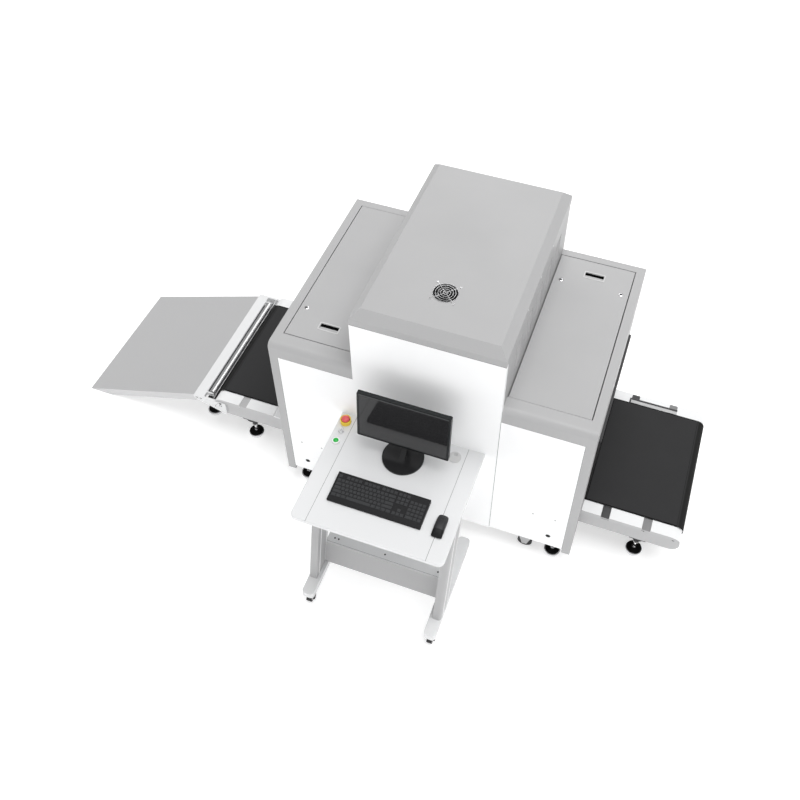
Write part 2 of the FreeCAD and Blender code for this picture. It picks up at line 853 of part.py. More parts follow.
def drum(name, side, level):
    """One end drum with its axle."""
    half = D.belt_width / 2 - D.belt_thick
    x = side * drum_reach
    reach = D.rail_spread / 2 - D.rail_sheet
    y = D.belt_middle
    body = rod(f"drum_{name}", "y", D.drum_radius - D.seat_gap, y - half, y + half, x, level)
    axle = rod(f"drum_axle_{name}", "y", D.axle_radius, y - reach, y + reach, x, level)
    return fuse(f"drum_solid_{name}", body, axle)


def member_places():
    """The x of every cross member under the bed, evenly spaced inside the housing."""
    inner = inner_member / 3
    for factor in (-1, 1):
        yield factor * outer_member
        yield factor * inner_member
        yield factor * inner


def make_members(top):
    """Cross members that carry the bed between the side rails."""
    reach = D.rail_spread / 2 - D.rail_sheet
    y = (D.belt_middle - reach, D.belt_middle + reach)
    half = D.member_width / 2
    bars = []
    for number, x in enumerate(member_places()):
        bars.append(box(f"member_{number}", (x - half, x + half), y,
                        (top - D.rail_sheet - D.member_height, top - D.rail_sheet)))
        pad_y = (D.belt_middle - D.belt_width / 2 + 2 * D.belt_thick,
                 D.belt_middle + D.belt_width / 2 - 2 * D.belt_thick)
        bars.append(box(f"member_pad_{number}", (x - half, x + half), pad_y, (top - D.rail_sheet - 1, top)))
    node("cross_members", fuse("cross_members_solid", *bars))


def nose(name, reach, low, high, y, radius, corners=(2, 3)):
    """A long upright plate along the belt with rounded ends."""
    points = [(-reach, low), (reach, low), (reach, high), (-reach, high)]
    return profile(name, "xz", points, y[0], y[1] - y[0], [(radius, corners)])


def rail(row, side):
    """A folded side rail: a tall web outside and two flanges turned inward, with round noses."""
    web = D.belt_middle + side * D.rail_spread / 2
    sheet = side * -D.rail_sheet
    top_in = web - side * D.rail_flange
    low_in = web - side * D.rail_foot
    low = D.rail_bottom
    high = D.rail_top
    points = [
        (web, low), (web, high), (top_in, high), (top_in, high - D.rail_sheet),
        (web + sheet, high - D.rail_sheet), (web + sheet, low + D.rail_sheet),
        (low_in, low + D.rail_sheet), (low_in, low),
    ]
    channel = profile(f"channel_{row}", "yz", points, -rail_reach, rail_reach * 2)
    y = (web - D.rail_flange, web) if side > 0 else (web, web + D.rail_flange)
    ends_y = (y[0] - 1, y[1] + 1)
    trim = nose(f"nose_{row}", rail_reach, low, high, ends_y, D.rail_nose, (0, 1, 2, 3))
    node(f"rail_{row}", common(f"rail_solid_{row}", channel, trim))


def make_covers():
    """Cover strips on the rails beside the belt, open over the cross members."""
    half = D.member_width / 2
    reach = rail_reach + D.cover_thick
    strips = []
    for row, side in ends():
        web = D.belt_middle + side * D.rail_spread / 2
        edge = web + side * D.cover_lip
        inside = web - side * D.rail_flange
        y = (edge, inside) if side < 0 else (inside, edge)
        lip_y = (edge, web) if side < 0 else (web, edge)
        radius = D.rail_nose + D.cover_thick
        skin = nose(f"skin_{row}", reach, D.rail_bottom, D.rail_top + D.cover_thick, y, radius)
        core_y = (y[0] - 1, y[1] + 1)
        core = nose(f"core_{row}", rail_reach, D.rail_bottom - 1, D.rail_top, core_y, D.rail_nose)
        lip = nose(f"lip_{row}", reach, D.rail_bottom, D.rail_top + D.cover_thick, lip_y, radius)
        tray = fuse(f"tray_{row}", cut(f"tray_top_{row}", skin, core), lip)
        lows = (D.rail_top - D.cover_drop, D.rail_top + 2 * D.cover_thick)
        for name, direction in SIDES:
            stretches = (
                (hood_half + 2, inner_member - half),
                (inner_member + half, outer_member - half),
                (outer_member + half, reach + 1),
            )
            for number, (near, far) in enumerate(stretches):
                x = span(direction, near, far)
                window = box(f"window_{row}_{name}_{number}", x, core_y, lows)
                strips.append(common(f"strip_{row}_{name}_{number}", tray, window))
    node("belt_covers", group("cover_strips", *strips))


def make_transfer():
    """The bar beyond the belt's left end, its arms on the rails, its roller and the ramp."""
    far = -bar_outer
    half = D.rail_spread / 2
    y = (D.belt_middle - half - D.arm_thick, D.belt_middle + half + D.arm_thick)
    bar_low = D.bar_top - D.bar_thick
    bar = box("transfer_bar", (far, far + D.bar_width), y, (bar_low, D.bar_top))
    parts = [bar]
    for row, side in ends():
        web = D.belt_middle + side * half
        start = web - D.arm_thick if side < 0 else web
        points = [
            (far, bar_low), (far + D.arm_reach, D.rail_bottom), (far + D.arm_reach, D.bar_top),
            (far, D.bar_top),
        ]
        parts.append(profile(f"arm_{row}", "xz", points, start, D.arm_thick, [(D.arm_thick, (1,))]))
        parts.append(roller_lug(row, side, far))
    node("transfer_frame", fuse("transfer_frame_solid", *parts))
    inner = far + D.bar_width
    sheet = D.rail_sheet / 2
    reach = half - D.rail_sheet
    within = roller_length / 2 - D.pan_edge
    low = bar_low - D.pan_drop
    pan = box("pan_floor", (inner, -rail_reach - D.pan_edge), (D.belt_middle - reach, D.belt_middle + reach),
              (low, low + sheet))
    wall = box("pan_wall", (inner, inner + sheet), (D.belt_middle - within, D.belt_middle + within),
               (low, D.bar_top - D.pan_edge))
    node("transfer_pan", fuse("pan_solid", pan, wall))
    level = D.roller_top - D.roller_radius
    length = roller_length / 2
    tube = rod("roller_tube", "y", D.roller_radius, D.belt_middle - length, D.belt_middle + length,
               -roller_place, level)
    reach = length + D.cheek_gap + D.lug_thick
    pin = rod("roller_pin", "y", D.pin_radius, D.belt_middle - reach, D.belt_middle + reach,
              -roller_place, level)
    node("transfer_roller", fuse("transfer_roller_solid", tube, pin))
    make_ramp()


def roller_lug(row, side, far):
    """A lug on the bar that carries one end of the roller's pin."""
    level = D.roller_top - D.roller_radius
    near = D.belt_middle + side * (roller_length / 2 + D.cheek_gap)
    y = (near, near + D.lug_thick) if side > 0 else (near - D.lug_thick, near)
    tip = -roller_place + 2 * D.pin_radius
    blank = box(f"lug_{row}", (far + D.bar_width - 1, tip), y, (level - 2 * D.pin_radius, D.bar_top - 1))
    eye = rod(f"lug_eye_{row}", "y", D.pin_radius + D.seat_gap, y[0] - 1, y[1] + 1, -roller_place, level)
    return cut(f"lug_solid_{row}", blank, eye)


def make_ramp():
    """A folded plate from the floor up to the bar, with a turned-down side on each edge."""
    foot = -ramp_foot
    head = -bar_outer
    half = D.rail_spread / 2
    slope = D.ramp_top / (ramp_foot - bar_outer)
    y = (D.belt_middle - half, D.belt_middle + half)
    deck = [
        (foot, 0), (foot + D.ramp_sheet / slope, 0), (head, D.ramp_top - D.ramp_sheet), (head, D.ramp_top),
    ]
    parts = [profile("ramp_deck", "xz", deck, y[0], y[1] - y[0])]
    side = [
        (foot, 0), (foot + D.ramp_flange / slope, 0),
        (head, D.ramp_top - D.ramp_flange), (head, D.ramp_top),
    ]
    for row, start in (("front", y[0]), ("back", y[1] - D.ramp_sheet)):
        parts.append(profile(f"ramp_side_{row}", "xz", side, start, D.ramp_sheet))
    node("ramp", fuse("ramp_solid", *parts))


def foot_places():
    """Name, x, y and the height of what stands on each levelling foot."""
    beam_y = D.beam_width / 2
    rail_y = D.rail_spread / 2 - D.foot_inset
    for row, sign in ends():
        housing = inner_front + beam_y if sign < 0 else inner_back - beam_y
        conveyor = D.belt_middle + sign * rail_y
        for name, side in SIDES:
            yield f"housing_{row}_{name}", side * D.housing_foot, housing, D.beam_bottom
            yield f"conveyor_{row}_{name}", side * feet_reach, conveyor, D.rail_bottom
        bar_x = -bar_outer + D.bar_width / 2
        bar_y = D.belt_middle + sign * (D.belt_width / 2 - D.foot_inset)
        yield f"bar_{row}", bar_x, bar_y, D.bar_top - D.bar_thick


def make_feet():
    """Levelling feet: a bowl-shaped pad, a stem with a nut, and a bracket where one is needed."""
    pads = []
    stems = []
    brackets = []
    for name, x, y, top in foot_places():
        bowl = cone(f"pad_bowl_{name}", D.pad_radius * 0.7, D.pad_radius, 0, D.pad_rim, x, y)
        rim = rod(f"pad_rim_{name}", "z", D.pad_radius, D.pad_rim, D.pad_height, x, y)
        pads.append(fuse(f"pad_{name}", bowl, rim))
        carried = top if name.startswith("housing") else top - D.nut_height * 3
        stem = rod(f"stem_{name}", "z", D.stem_radius, D.pad_height, carried, x, y)
        nut_low = D.pad_height + D.nut_height
        nut = prism(f"nut_{name}", D.nut_radius, nut_low, nut_low + D.nut_height, x, y)
        stems.append(fuse(f"stem_solid_{name}", stem, nut))
        if not name.startswith("housing"):
            brackets.append(foot_bracket(name, x, y, top, carried))
    node("foot_pads", group("pads", *pads))
    node("foot_stems", group("stems", *stems))
    node("foot_brackets", group("brackets", *brackets))


def prism(name, radius, low, high, x, y):
    """A six-sided nut."""
    item = DOC.addObject("Part::Prism", name)
    item.Polygon = 6
    bind(item, "Circumradius", radius)
    bind(item, "Height", high - low)
    return stand(item, x, y, low)


def foot_bracket(name, x, y, top, low):
    """A plate under a rail or bar with the socket that takes a stem."""
    wide = D.pad_radius
    slab_low = top - D.bracket_thick
    deep = D.foot_inset if name.startswith("conveyor") else D.bar_width / 2
    slab = box(f"bracket_plate_{name}", (x - wide, x + wide), (y - deep, y + deep), (slab_low, top))
    if name.startswith("bar"):
        slab = box(f"bar_plate_{name}", (x - deep, x + deep), (y - wide, y + wide), (slab_low, top))
    socket = rod(f"socket_{name}", "z", D.nut_radius, low, top - D.bracket_thick / 2, x, y)
    return fuse(f"bracket_{name}", slab, socket)


def make_desk():
    """The operator's desk: board, sloping legs, stretcher, foot bars and four casters."""
    board_low = D.desk_top - D.board_thick
    make_board(board_low)
    legs = [leg(name, side, board_low) for name, side in SIDES]
    node("desk_legs", group("leg_pair", *legs))
    bars = [foot_bar(name, side) for name, side in SIDES]
    node("desk_foot_bars", group("foot_bar_pair", *bars))
    make_stretcher(board_low)
    for name, x, y in desk_caster_places():
        desk_caster(name, x, y)


def leg_edge(z, board_low, foot, head):
    """The y of a leg's sloping edge at a height, from where it starts and where it ends."""
    return -foot + (foot - head) * (z - D.foot_top) / (board_low - D.foot_top)


def make_stretcher(board_low):
    """The panel between the legs, leaning with their back edges."""
    low = D.foot_top + D.board_edge
    high = low + D.stretcher_height
    front_low, front_high = (
        leg_edge(z, board_low, D.leg_back, D.leg_top_back) - D.stretcher_overlap for z in (low, high)
    )
    outline = [
        (front_low, low), (front_low + D.stretcher_depth, low),
        (front_high + D.stretcher_depth, high), (front_high, high),
    ]
    inner = leg_spread / 2 - D.leg_width / 2
    node("desk_stretcher", profile("stretcher", "yz", outline, D.desk_middle - inner, inner * 2))


def make_board(board_low):
    """The white board with rounded front corners, a softened rim and two fine grooves."""
    middle = D.desk_middle
    half = D.desk_width / 2
    left = middle - half
    right = middle + half
    points = [(left, -D.desk_depth), (right, -D.desk_depth), (right, 0), (left, 0)]
    board = profile("desk_board", "xy", points, board_low, D.board_thick, [(D.desk_corner, (0, 1))])
    top = D.board_thick.number
    low_y = -1e-3

    def on_rim(edge):
        level = all(abs(vertex.Z - top) < 1e-3 or abs(vertex.Z) < 1e-3 for vertex in edge.Vertexes)
        flat = abs(edge.BoundBox.ZMax - edge.BoundBox.ZMin) < 1e-3
        return level and flat and edge.BoundBox.YMin < low_y

    round_edges(board, on_rim, D.board_edge)
    grooves = []
    for name, side in SIDES:
        x = middle + side * (half - D.strip_width)
        grooves.append(box(f"groove_{name}", (x - D.groove / 2, x + D.groove / 2), (-D.desk_depth - 1, 1),
                           (D.desk_top - D.groove, D.desk_top + 1)))
    hole = rod("grommet_hole", "z", D.grommet_radius - D.board_edge, board_low - 1, D.desk_top + 1,
               grommet_place, -D.grommet_back)
    node("desk_top", cut("desk_top_solid", board, *grooves, hole))


def leg(name, side, board_low):
    """A leaning leg with its outer front edge rounded and flutes on both faces."""
    points = [
        (-D.leg_front, D.foot_top), (-D.leg_back, D.foot_top),
        (-D.leg_top_back, board_low), (-D.leg_top_front, board_low),
    ]
    x = D.desk_middle + side * leg_spread / 2 - D.leg_width / 2
    body = profile(f"leg_{name}", "yz", points, x, D.leg_width)

    def on_front(edge):
        middle = edge.CenterOfMass
        halfway = (D.leg_front.number + D.leg_top_front.number) / -2
        outer = 0 if side < 0 else D.leg_width.number
        long_edge = edge.Length > D.leg_width.number * 3
        return long_edge and abs(middle.y - halfway) < 1 and abs(middle.x - outer) < 1

    round_edges(body, on_front, D.leg_edge)
    flutes = []
    faces = (D.desk_middle + side * (leg_spread / 2 + offset * D.leg_width / 2) for offset in (1, -1))
    for face_name, face in zip(("outer", "inner"), faces):
        for number, share in enumerate((0.26, 0.86)):
            low_y = -D.leg_front + (D.leg_front - D.leg_back) * share
            high_y = -D.leg_top_front + (D.leg_top_front - D.leg_top_back) * share
            outline = [
                (low_y, D.foot_top - 1), (low_y + D.flute, D.foot_top - 1),
                (high_y + D.flute, board_low + 1), (high_y, board_low + 1),
            ]
            flutes.append(profile(f"flute_{face_name}_{name}_{number}", "yz", outline, face - D.flute / 4,
                                  D.flute / 2))
    return cut(f"leg_fluted_{name}", body, *flutes)


def foot_bar(name, side):
    """A level bar under one leg with round ends and bores for the caster stems."""
    x = D.desk_middle + side * bar_spread / 2
    half = D.foot_width / 2
    low = D.foot_top - D.foot_height
    body = plate(f"foot_bar_{name}", (x - half, x + half), (-D.foot_front, -D.foot_back), (low, D.foot_top),
                 D.foot_corner)
    bore = D.desk_pin + D.seat_gap
    bores = [rod(f"stem_bore_{name}_{number}", "z", bore, low - 1, low + D.foot_height / 2, x, -back)
             for number, back in enumerate((D.desk_caster_front, D.desk_caster_back))]
    return cut(f"foot_bar_bored_{name}", body, *bores)


def desk_caster_places():
    """Name, x and y of the four casters under the desk."""
    for row, back in (("front", D.desk_caster_front), ("back", D.desk_caster_back)):
        for name, side in SIDES:
            yield f"{row}_{name}", D.desk_middle + side * bar_spread / 2, -back


def desk_caster(name, x, y):
    """A swivel fork with its stem in the foot bar, and the wheel that trails toward the front."""
    bar_low = D.foot_top - D.foot_height
    crown_top = bar_low - D.seat_gap
    crown_low = crown_top - D.cheek_gap
    axle_y = y - D.desk_trail
    inside = D.desk_wheel_width / 2 + D.cheek_gap / 2
    outside = inside + D.fork_cheek
    crown = rod(f"crown_{name}", "z", D.foot_width / 3, crown_low, crown_top, x, y)
    stem = rod(f"caster_stem_{name}", "z", D.desk_pin, crown_top - 1, bar_low + D.foot_height / 2 - 2, x, y)
    cheeks = []
    tip = D.desk_pin * 1.4
    tip_low = D.desk_wheel - D.desk_pin
    points = [
        (axle_y - tip, tip_low), (axle_y + tip, tip_low),
        (y + D.desk_trail, crown_low + 1), (y - D.desk_trail, crown_low + 1),
    ]
    for number, start in enumerate((x - outside, x + inside)):
        cheeks.append(profile(f"fork_cheek_{name}_{number}", "yz", points, start, D.fork_cheek))
    pin = rod(f"fork_pin_{name}", "x", D.desk_pin / 2, x - outside, x + outside, axle_y, D.desk_wheel)
    node(f"desk_fork_{name}", fuse(f"fork_solid_{name}", crown, stem, *cheeks, pin))
    half = D.desk_wheel_width / 2
    tyre = rod(f"desk_tyre_{name}", "x", D.desk_wheel, x - half, x + half, axle_y, D.desk_wheel)
    bore_radius = D.desk_pin / 2 + D.seat_gap
    bore = rod(f"desk_bore_{name}", "x", bore_radius, x - half - 1, x + half + 1, axle_y, D.desk_wheel)
    node(f"desk_wheel_{name}", cut(f"desk_wheel_solid_{name}", tyre, bore))


def make_controls():
    """Stop button, key switch, start button and the cable grommet on the desk's board."""
    x = control_place
    top = D.desk_top
    y = -D.stop_back
    shaft = D.stop_cap / 2
    floor = top + D.stop_floor
    collar = rod("stop_collar", "z", D.stop_base, top, top + D.stop_height, x, y)
    bowl = rod("stop_bowl", "z", D.stop_base - D.stop_wall, floor, top + D.stop_height + 1, x, y)
    well = rod("stop_well", "z", shaft + D.seat_gap, top + 2, floor + 1, x, y)
    node("stop_base", cut("stop_base_solid", collar, bowl, well))
    cap_low = floor + D.stop_travel + 1
    stalk = rod("stop_stalk", "z", shaft, top + D.stop_travel + 3, cap_low + 1, x, y)
    flange_top = cap_low + D.stop_travel
    flange = rod("stop_flange", "z", D.stop_cap, cap_low, flange_top, x, y)
    head = cone("stop_head", D.stop_cap, D.stop_cap * 0.72, flange_top, flange_top + D.stop_travel, x, y)
    node("stop_button", fuse("stop_button_solid", stalk, head, flange))
    bezels = [
        bezel("key", x, -D.key_back, D.key_radius, D.key_bezel),
        bezel("start", x, -D.start_back, D.start_radius, D.start_bezel),
    ]
    node("control_bezels", group("bezel_pair", *bezels))
    y = -D.key_back
    bezel_top = top + D.bezel_height
    plug = rod("key_plug_blank", "z", D.key_radius, top + D.seat_gap, bezel_top + D.key_rise, x, y)
    reach = D.key_radius * 0.6
    slot = box("key_slot", (x - 1, x + 1), (y - reach, y + reach), (bezel_top, bezel_top + D.key_rise + 1))
    node("key_plug", cut("key_plug_solid", plug, slot))
    start_low = top + D.start_travel + 1
    node("start_button", rod("start_cap", "z", D.start_radius, start_low, start_low + D.bezel_height, x,
                             -D.start_back))
    make_grommet(top)


def make_grommet(top):
    """A cap in a hole of the board, with a mouth for cords toward the back."""
    x = grommet_place
    y = -D.grommet_back
    low = top - D.board_thick
    sleeve_radius = D.grommet_radius - D.board_edge - D.seat_gap
    lip = rod("grommet_lip", "z", D.grommet_radius, top, top + D.grommet_lip, x, y)
    sleeve = rod("grommet_sleeve", "z", sleeve_radius, low, top + 1, x, y)
    inside = rod("grommet_inside", "z", D.grommet_radius - 2 * D.board_edge, low - 1, top, x, y)
    outlet = rod("grommet_outlet", "z", D.board_edge * 2, top - 1, top + D.grommet_lip + 1, x,
                 y + D.grommet_radius / 2)
    node("cable_grommet", cut("grommet_solid", fuse("grommet_blank", lip, sleeve), inside, outlet))


def bezel(name, x, y, radius, outer):
    """A ring on the board around a moving button or plug."""
    low = D.desk_top
    high = D.desk_top + D.bezel_height
    ring = rod(f"{name}_bezel_ring", "z", outer, low, high, x, y)
    hole = rod(f"{name}_bezel_hole", "z", radius + D.seat_gap, low - 1, high + 1, x, y)
    return cut(f"{name}_bezel", ring, hole)


def make_computer():
    """Monitor on its round stand, keyboard and mouse."""
    make_monitor()
    make_keyboard()
    make_mouse()


def lean(back, up):
    """The y and z of a point of the monitor, given behind its glass and above its lower edge."""
    angle = math.radians(D.screen_tilt.number)
    sine = math.sin(angle)
    cosine = math.cos(angle)
    return -D.screen_front + back * cosine + up * sine, D.screen_bottom - back * sine + up * cosine


def leaning_block(name, x, back, up):
    """A block that leans with the monitor, between two x values, two depths and two heights."""
    item = DOC.addObject("Part::Box", name)
    bind(item, "Length", x[1] - x[0])
    bind(item, "Width", back[1] - back[0])
    bind(item, "Height", up[1] - up[0])
    y, z = lean(back[0], up[0])
    return stand(item, x[0], y, z, Rotation(Vector(1, 0, 0), -D.screen_tilt.number))


def make_monitor():
    """A flat monitor with two lugs on its back, tilting on the pin of its stand."""
    x = screen_place
    half = D.screen_width / 2
    points = [(-half, 0), (half, 0), (half, D.screen_height), (-half, D.screen_height)]
    head = profile("screen_head", "xz", points, 0, D.screen_depth, [(D.board_edge, (0, 1, 2, 3))])
    y, z = lean(Size.of(0), Size.of(0))
    stand(head, x, y, z, Rotation(Vector(1, 0, 0), -D.screen_tilt.number))
    shell_half = half - D.board_thick
    shell = leaning_block("screen_shell", (x - shell_half, x + shell_half),
                          (D.screen_depth - 1, D.screen_depth + D.shell_depth),
                          (D.board_thick, D.screen_height - D.board_thick))
    pivot_up = D.screen_height * D.pivot_share
    pivot_back = D.screen_depth + D.shell_depth + D.pivot_gap
    y, z = lean(pivot_back, pivot_up)
    outer = D.pivot_radius + D.cheek_thick
    near = D.neck_half + D.cheek_gap
    far = near + D.lug_wide
    parts = [head, shell]
    for name, side in SIDES:
        low, high = span(side, near, far)
        lug_x = (x + low, x + high)
        parts.append(rod(f"pivot_boss_{name}", "x", outer, lug_x[0], lug_x[1], y, z))
        parts.append(leaning_block(f"pivot_web_{name}", lug_x, (D.screen_depth, pivot_back),
                                   (pivot_up - outer, pivot_up + outer)))
    bore = rod("pivot_bore", "x", D.pivot_radius + D.seat_gap, x - far - 1, x + far + 1, y, z)
    node("monitor", cut("monitor_solid", fuse("monitor_blank", *parts), bore))
    make_stand(x, y, z, far)


def make_stand(x, y, z, pin_reach):
    """A round foot and a narrow neck with the pin that the monitor tilts on."""
    top = D.desk_top + D.stand_thick
    disc = rod("stand_disc", "z", D.stand_radius, D.desk_top, top, x, -D.stand_back)
    reach = D.pivot_radius + D.cheek_thick
    neck = profile("stand_neck", "yz", [
        (-D.stand_back - D.screen_depth, top - 1), (-D.stand_back + D.stand_radius / 2, top - 1),
        (y + reach, z), (y - reach, z), (y - D.pivot_radius, D.screen_bottom - D.board_edge),
    ], x - D.neck_half, D.neck_half * 2)
    head = rod("neck_head", "x", reach, x - D.neck_half, x + D.neck_half, y, z)
    pin = rod("pivot_pin", "x", D.pivot_radius, x - pin_reach, x + pin_reach, y, z)
    node("monitor_stand", fuse("monitor_stand_solid", disc, neck, head, pin))


def make_keyboard():
    """A thin wedge for the keyboard."""
    half = D.keys_length / 2
    front = -D.keys_front
    top = D.desk_top
    points = [(front, top), (front + D.keys_width, top), (front + D.keys_width, top + D.keys_high),
              (front, top + D.keys_low)]
    rounds = [(D.board_edge / 2, (2, 3))]
    node("keyboard", profile("keyboard_body", "yz", points, keys_place - half, D.keys_length, rounds))


def make_mouse():
    """A mouse with a rounded back."""
    top = D.desk_top
    low = -D.mouse_front
    nose_z = top + D.mouse_height * 0.55
    outline = [(low, top), (low + D.mouse_length, top), (low + D.mouse_length, nose_z),
               (low + D.mouse_length * 0.4, top + D.mouse_height), (low, nose_z)]
    wide = D.mouse_width
    mouse = profile("mouse_body", "yz", outline, mouse_place - wide / 2, wide,
                    [(D.mouse_height * 0.3, (2, 4)), (D.mouse_height, (3,))])
    node("mouse", mouse)


def check_and_export():
    """Stops on a failed feature or a bad solid, then writes one file for each sub-part."""
    DOC.recompute()
    for item in DOC.Objects:
        if "Invalid" in item.State or "Error" in item.State:
            raise RuntimeError(f"{item.Name} failed: {item.State}")
    os.makedirs("parts", exist_ok=True)
    for item in NODES:
        shape = item.Shape
        if shape.isNull() or not shape.isValid() or not shape.Solids:
            raise RuntimeError(f"{item.Label} has no valid solid")
        shape.exportStep(f"parts/{item.Label}.step")
    print(f"{len(NODES)} sub-parts, {sum(len(item.Shape.Solids) for item in NODES)} solids")


make_base()
make_casters()
make_tower()
make_fan()
make_hood()
make_tunnel()
make_conveyor()
make_transfer()
make_feet()
make_desk()
make_controls()
make_computer()
check_and_export()
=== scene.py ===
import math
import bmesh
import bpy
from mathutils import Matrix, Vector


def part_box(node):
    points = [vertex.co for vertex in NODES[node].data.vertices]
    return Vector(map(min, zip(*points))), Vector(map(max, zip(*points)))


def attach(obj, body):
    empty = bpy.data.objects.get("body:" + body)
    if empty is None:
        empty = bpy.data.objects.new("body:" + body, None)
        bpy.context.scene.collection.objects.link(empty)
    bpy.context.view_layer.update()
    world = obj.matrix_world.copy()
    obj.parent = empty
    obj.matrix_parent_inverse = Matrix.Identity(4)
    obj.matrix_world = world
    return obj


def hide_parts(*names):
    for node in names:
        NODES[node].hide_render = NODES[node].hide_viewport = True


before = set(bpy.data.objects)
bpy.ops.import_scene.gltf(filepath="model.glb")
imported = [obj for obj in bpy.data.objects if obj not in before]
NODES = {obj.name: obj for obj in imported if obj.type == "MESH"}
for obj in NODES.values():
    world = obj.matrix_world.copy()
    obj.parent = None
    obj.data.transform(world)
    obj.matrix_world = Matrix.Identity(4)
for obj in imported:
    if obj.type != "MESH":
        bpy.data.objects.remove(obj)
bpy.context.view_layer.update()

# %% [markdown]
# # Dressing a baggage x-ray scanner
# The solids of the machine come in as a fixed frame. This file gives them their finishes and
# adds what is too small or too soft for the solids: screws, locks, keys, curtain strips.
# The frame's origin is on the floor under the machine's middle, and its lengths are in metres.


# %% [markdown]
# The machine is easiest to describe from the foot of its tower: x along the belt, y from the
# tower's front face to the back, z up, in millimetres. One small function turns such a point
# into the frame's metres, so the sizes below can be read like the ones on a drawing.

# %% From millimetres at the tower to metres in the frame
def at(x, y, z):
    return Vector(((x + 435) / 1000, (y - 238.5) / 1000, z / 1000))


print("tower's front foot:", tuple(round(value, 4) for value in at(0, 0, 0)))

# %% [markdown]
# ## The camera
# The picture is taken from above, at 48 degrees, with a lens of about 42 mm. A picture that was
# cropped has its vanishing point beside the middle, which a small lens shift gives.

# %% Camera
camera_data = bpy.data.cameras.new("camera")
camera_data.lens = 42.08
camera_data.sensor_width = 36.0
camera_data.shift_x, camera_data.shift_y = -0.0267, -0.0887
camera = bpy.data.objects.new("camera", camera_data)
bpy.context.scene.collection.objects.link(camera)
CAMERA_PLACE = at(836, -2424.6, 4367)
right = Vector((0.94075, 0.33906, 0.00549))
forward = Vector((-0.22277, 0.63013, -0.74385))
up = right.cross(forward).normalized()
right = forward.cross(up).normalized()
turn = Matrix((right, up, -forward)).transposed().to_4x4()
camera.matrix_world = Matrix.Translation(CAMERA_PLACE) @ turn
bpy.context.scene.camera = camera
bpy.context.scene.view_settings.view_transform = "Standard"
print("camera at", [round(value, 3) for value in camera.matrix_world.translation])


# %% [markdown]
# ## The studio
# A product picture like this one has light from all sides, a soft key from straight above and a
# white sweep. The key is a sun with a wide angle, so its shadows are soft. A second sun fills the
# fronts and throws no shadow, and a broad panel behind the machine puts a sheen on the tops.

# %% Light from all around
world = bpy.data.worlds.new("studio")
bpy.context.scene.world = world
world.use_nodes = True
world_nodes = world.node_tree.nodes
world_links = world.node_tree.links
world_nodes.clear()
world_out = world_nodes.new("ShaderNodeOutputWorld")
mixer = world_nodes.new("ShaderNodeMixShader")
soft = world_nodes.new("ShaderNodeBackground")
soft.inputs["Color"].default_value = (1.0, 1.0, 1.0, 1.0)
soft.inputs["Strength"].default_value = 0.42
white = world_nodes.new("ShaderNodeBackground")
white.inputs["Color"].default_value = (1.0, 1.0, 1.0, 1.0)
white.inputs["Strength"].default_value = 1.0
path = world_nodes.new("ShaderNodeLightPath")
world_links.new(path.outputs["Is Camera Ray"], mixer.inputs[0])
world_links.new(soft.outputs[0], mixer.inputs[1])
world_links.new(white.outputs[0], mixer.inputs[2])
world_links.new(mixer.outputs[0], world_out.inputs["Surface"])
print("world strength", soft.inputs["Strength"].default_value)


# %% The lamps
def sun(name, strength, angle, direction):
    data = bpy.data.lights.new(name, "SUN")
    data.energy = strength
    data.angle = math.radians(angle)
    lamp = bpy.data.objects.new(name, data)
    lamp.rotation_euler = Vector(direction).to_track_quat("-Z", "Y").to_euler()
    bpy.context.scene.collection.objects.link(lamp)
    return lamp


def panel_lamp(name, power, size, place, target):
    data = bpy.data.lights.new(name, "AREA")
    data.shape = "RECTANGLE"
    data.size = size[0]
    data.size_y = size[1]
    data.energy = power
    lamp = bpy.data.objects.new(name, data)
    lamp.location = place
    lamp.rotation_euler = (target - place).to_track_quat("-Z", "Y").to_euler()
    bpy.context.scene.collection.objects.link(lamp)
    return lamp


sun("key", 2.45, 50, (-0.2, -0.08, -1.0))
fill = sun("front_fill", 1.0, 60, (-0.3, 1.0, -0.1))
fill.data.use_shadow = False
panel_lamp("back_sheen", 120, (6.0, 3.0), Vector((-0.6, 7.0, 6.5)), Vector((0.0, 0.0, 1.0)))


# %% [markdown]
# The floor is a large white sheet. It takes the machine's soft shadow, and a little glow in it
# brings the open floor up to the white of the backdrop.

# %% Floor
floor_mesh = bpy.data.meshes.new("floor")
REACH = 14.0
JUST_BELOW = -0.0005
floor_corners = [(x * REACH, y * REACH, JUST_BELOW) for x, y in ((-1, -1), (1, -1), (1, 1), (-1, 1))]
floor_mesh.from_pydata(floor_corners, [], [(0, 1, 2, 3)])
floor = bpy.data.objects.new("floor", floor_mesh)
bpy.context.scene.collection.objects.link(floor)
floor_paint = bpy.data.materials.new("floor_paint")
floor_paint.use_nodes = True
floor_shader = floor_paint.node_tree.nodes["Principled BSDF"]
floor_shader.inputs["Base Color"].default_value = (0.7, 0.7, 0.7, 1)
floor_shader.inputs["Roughness"].default_value = 0.9
floor_shader.inputs["Specular IOR Level"].default_value = 0.0
floor_shader.inputs["Emission Color"].default_value = (1, 1, 1, 1)
floor_shader.inputs["Emission Strength"].default_value = 0.52
floor_mesh.materials.append(floor_paint)
print("floor", REACH * 2, "m wide")
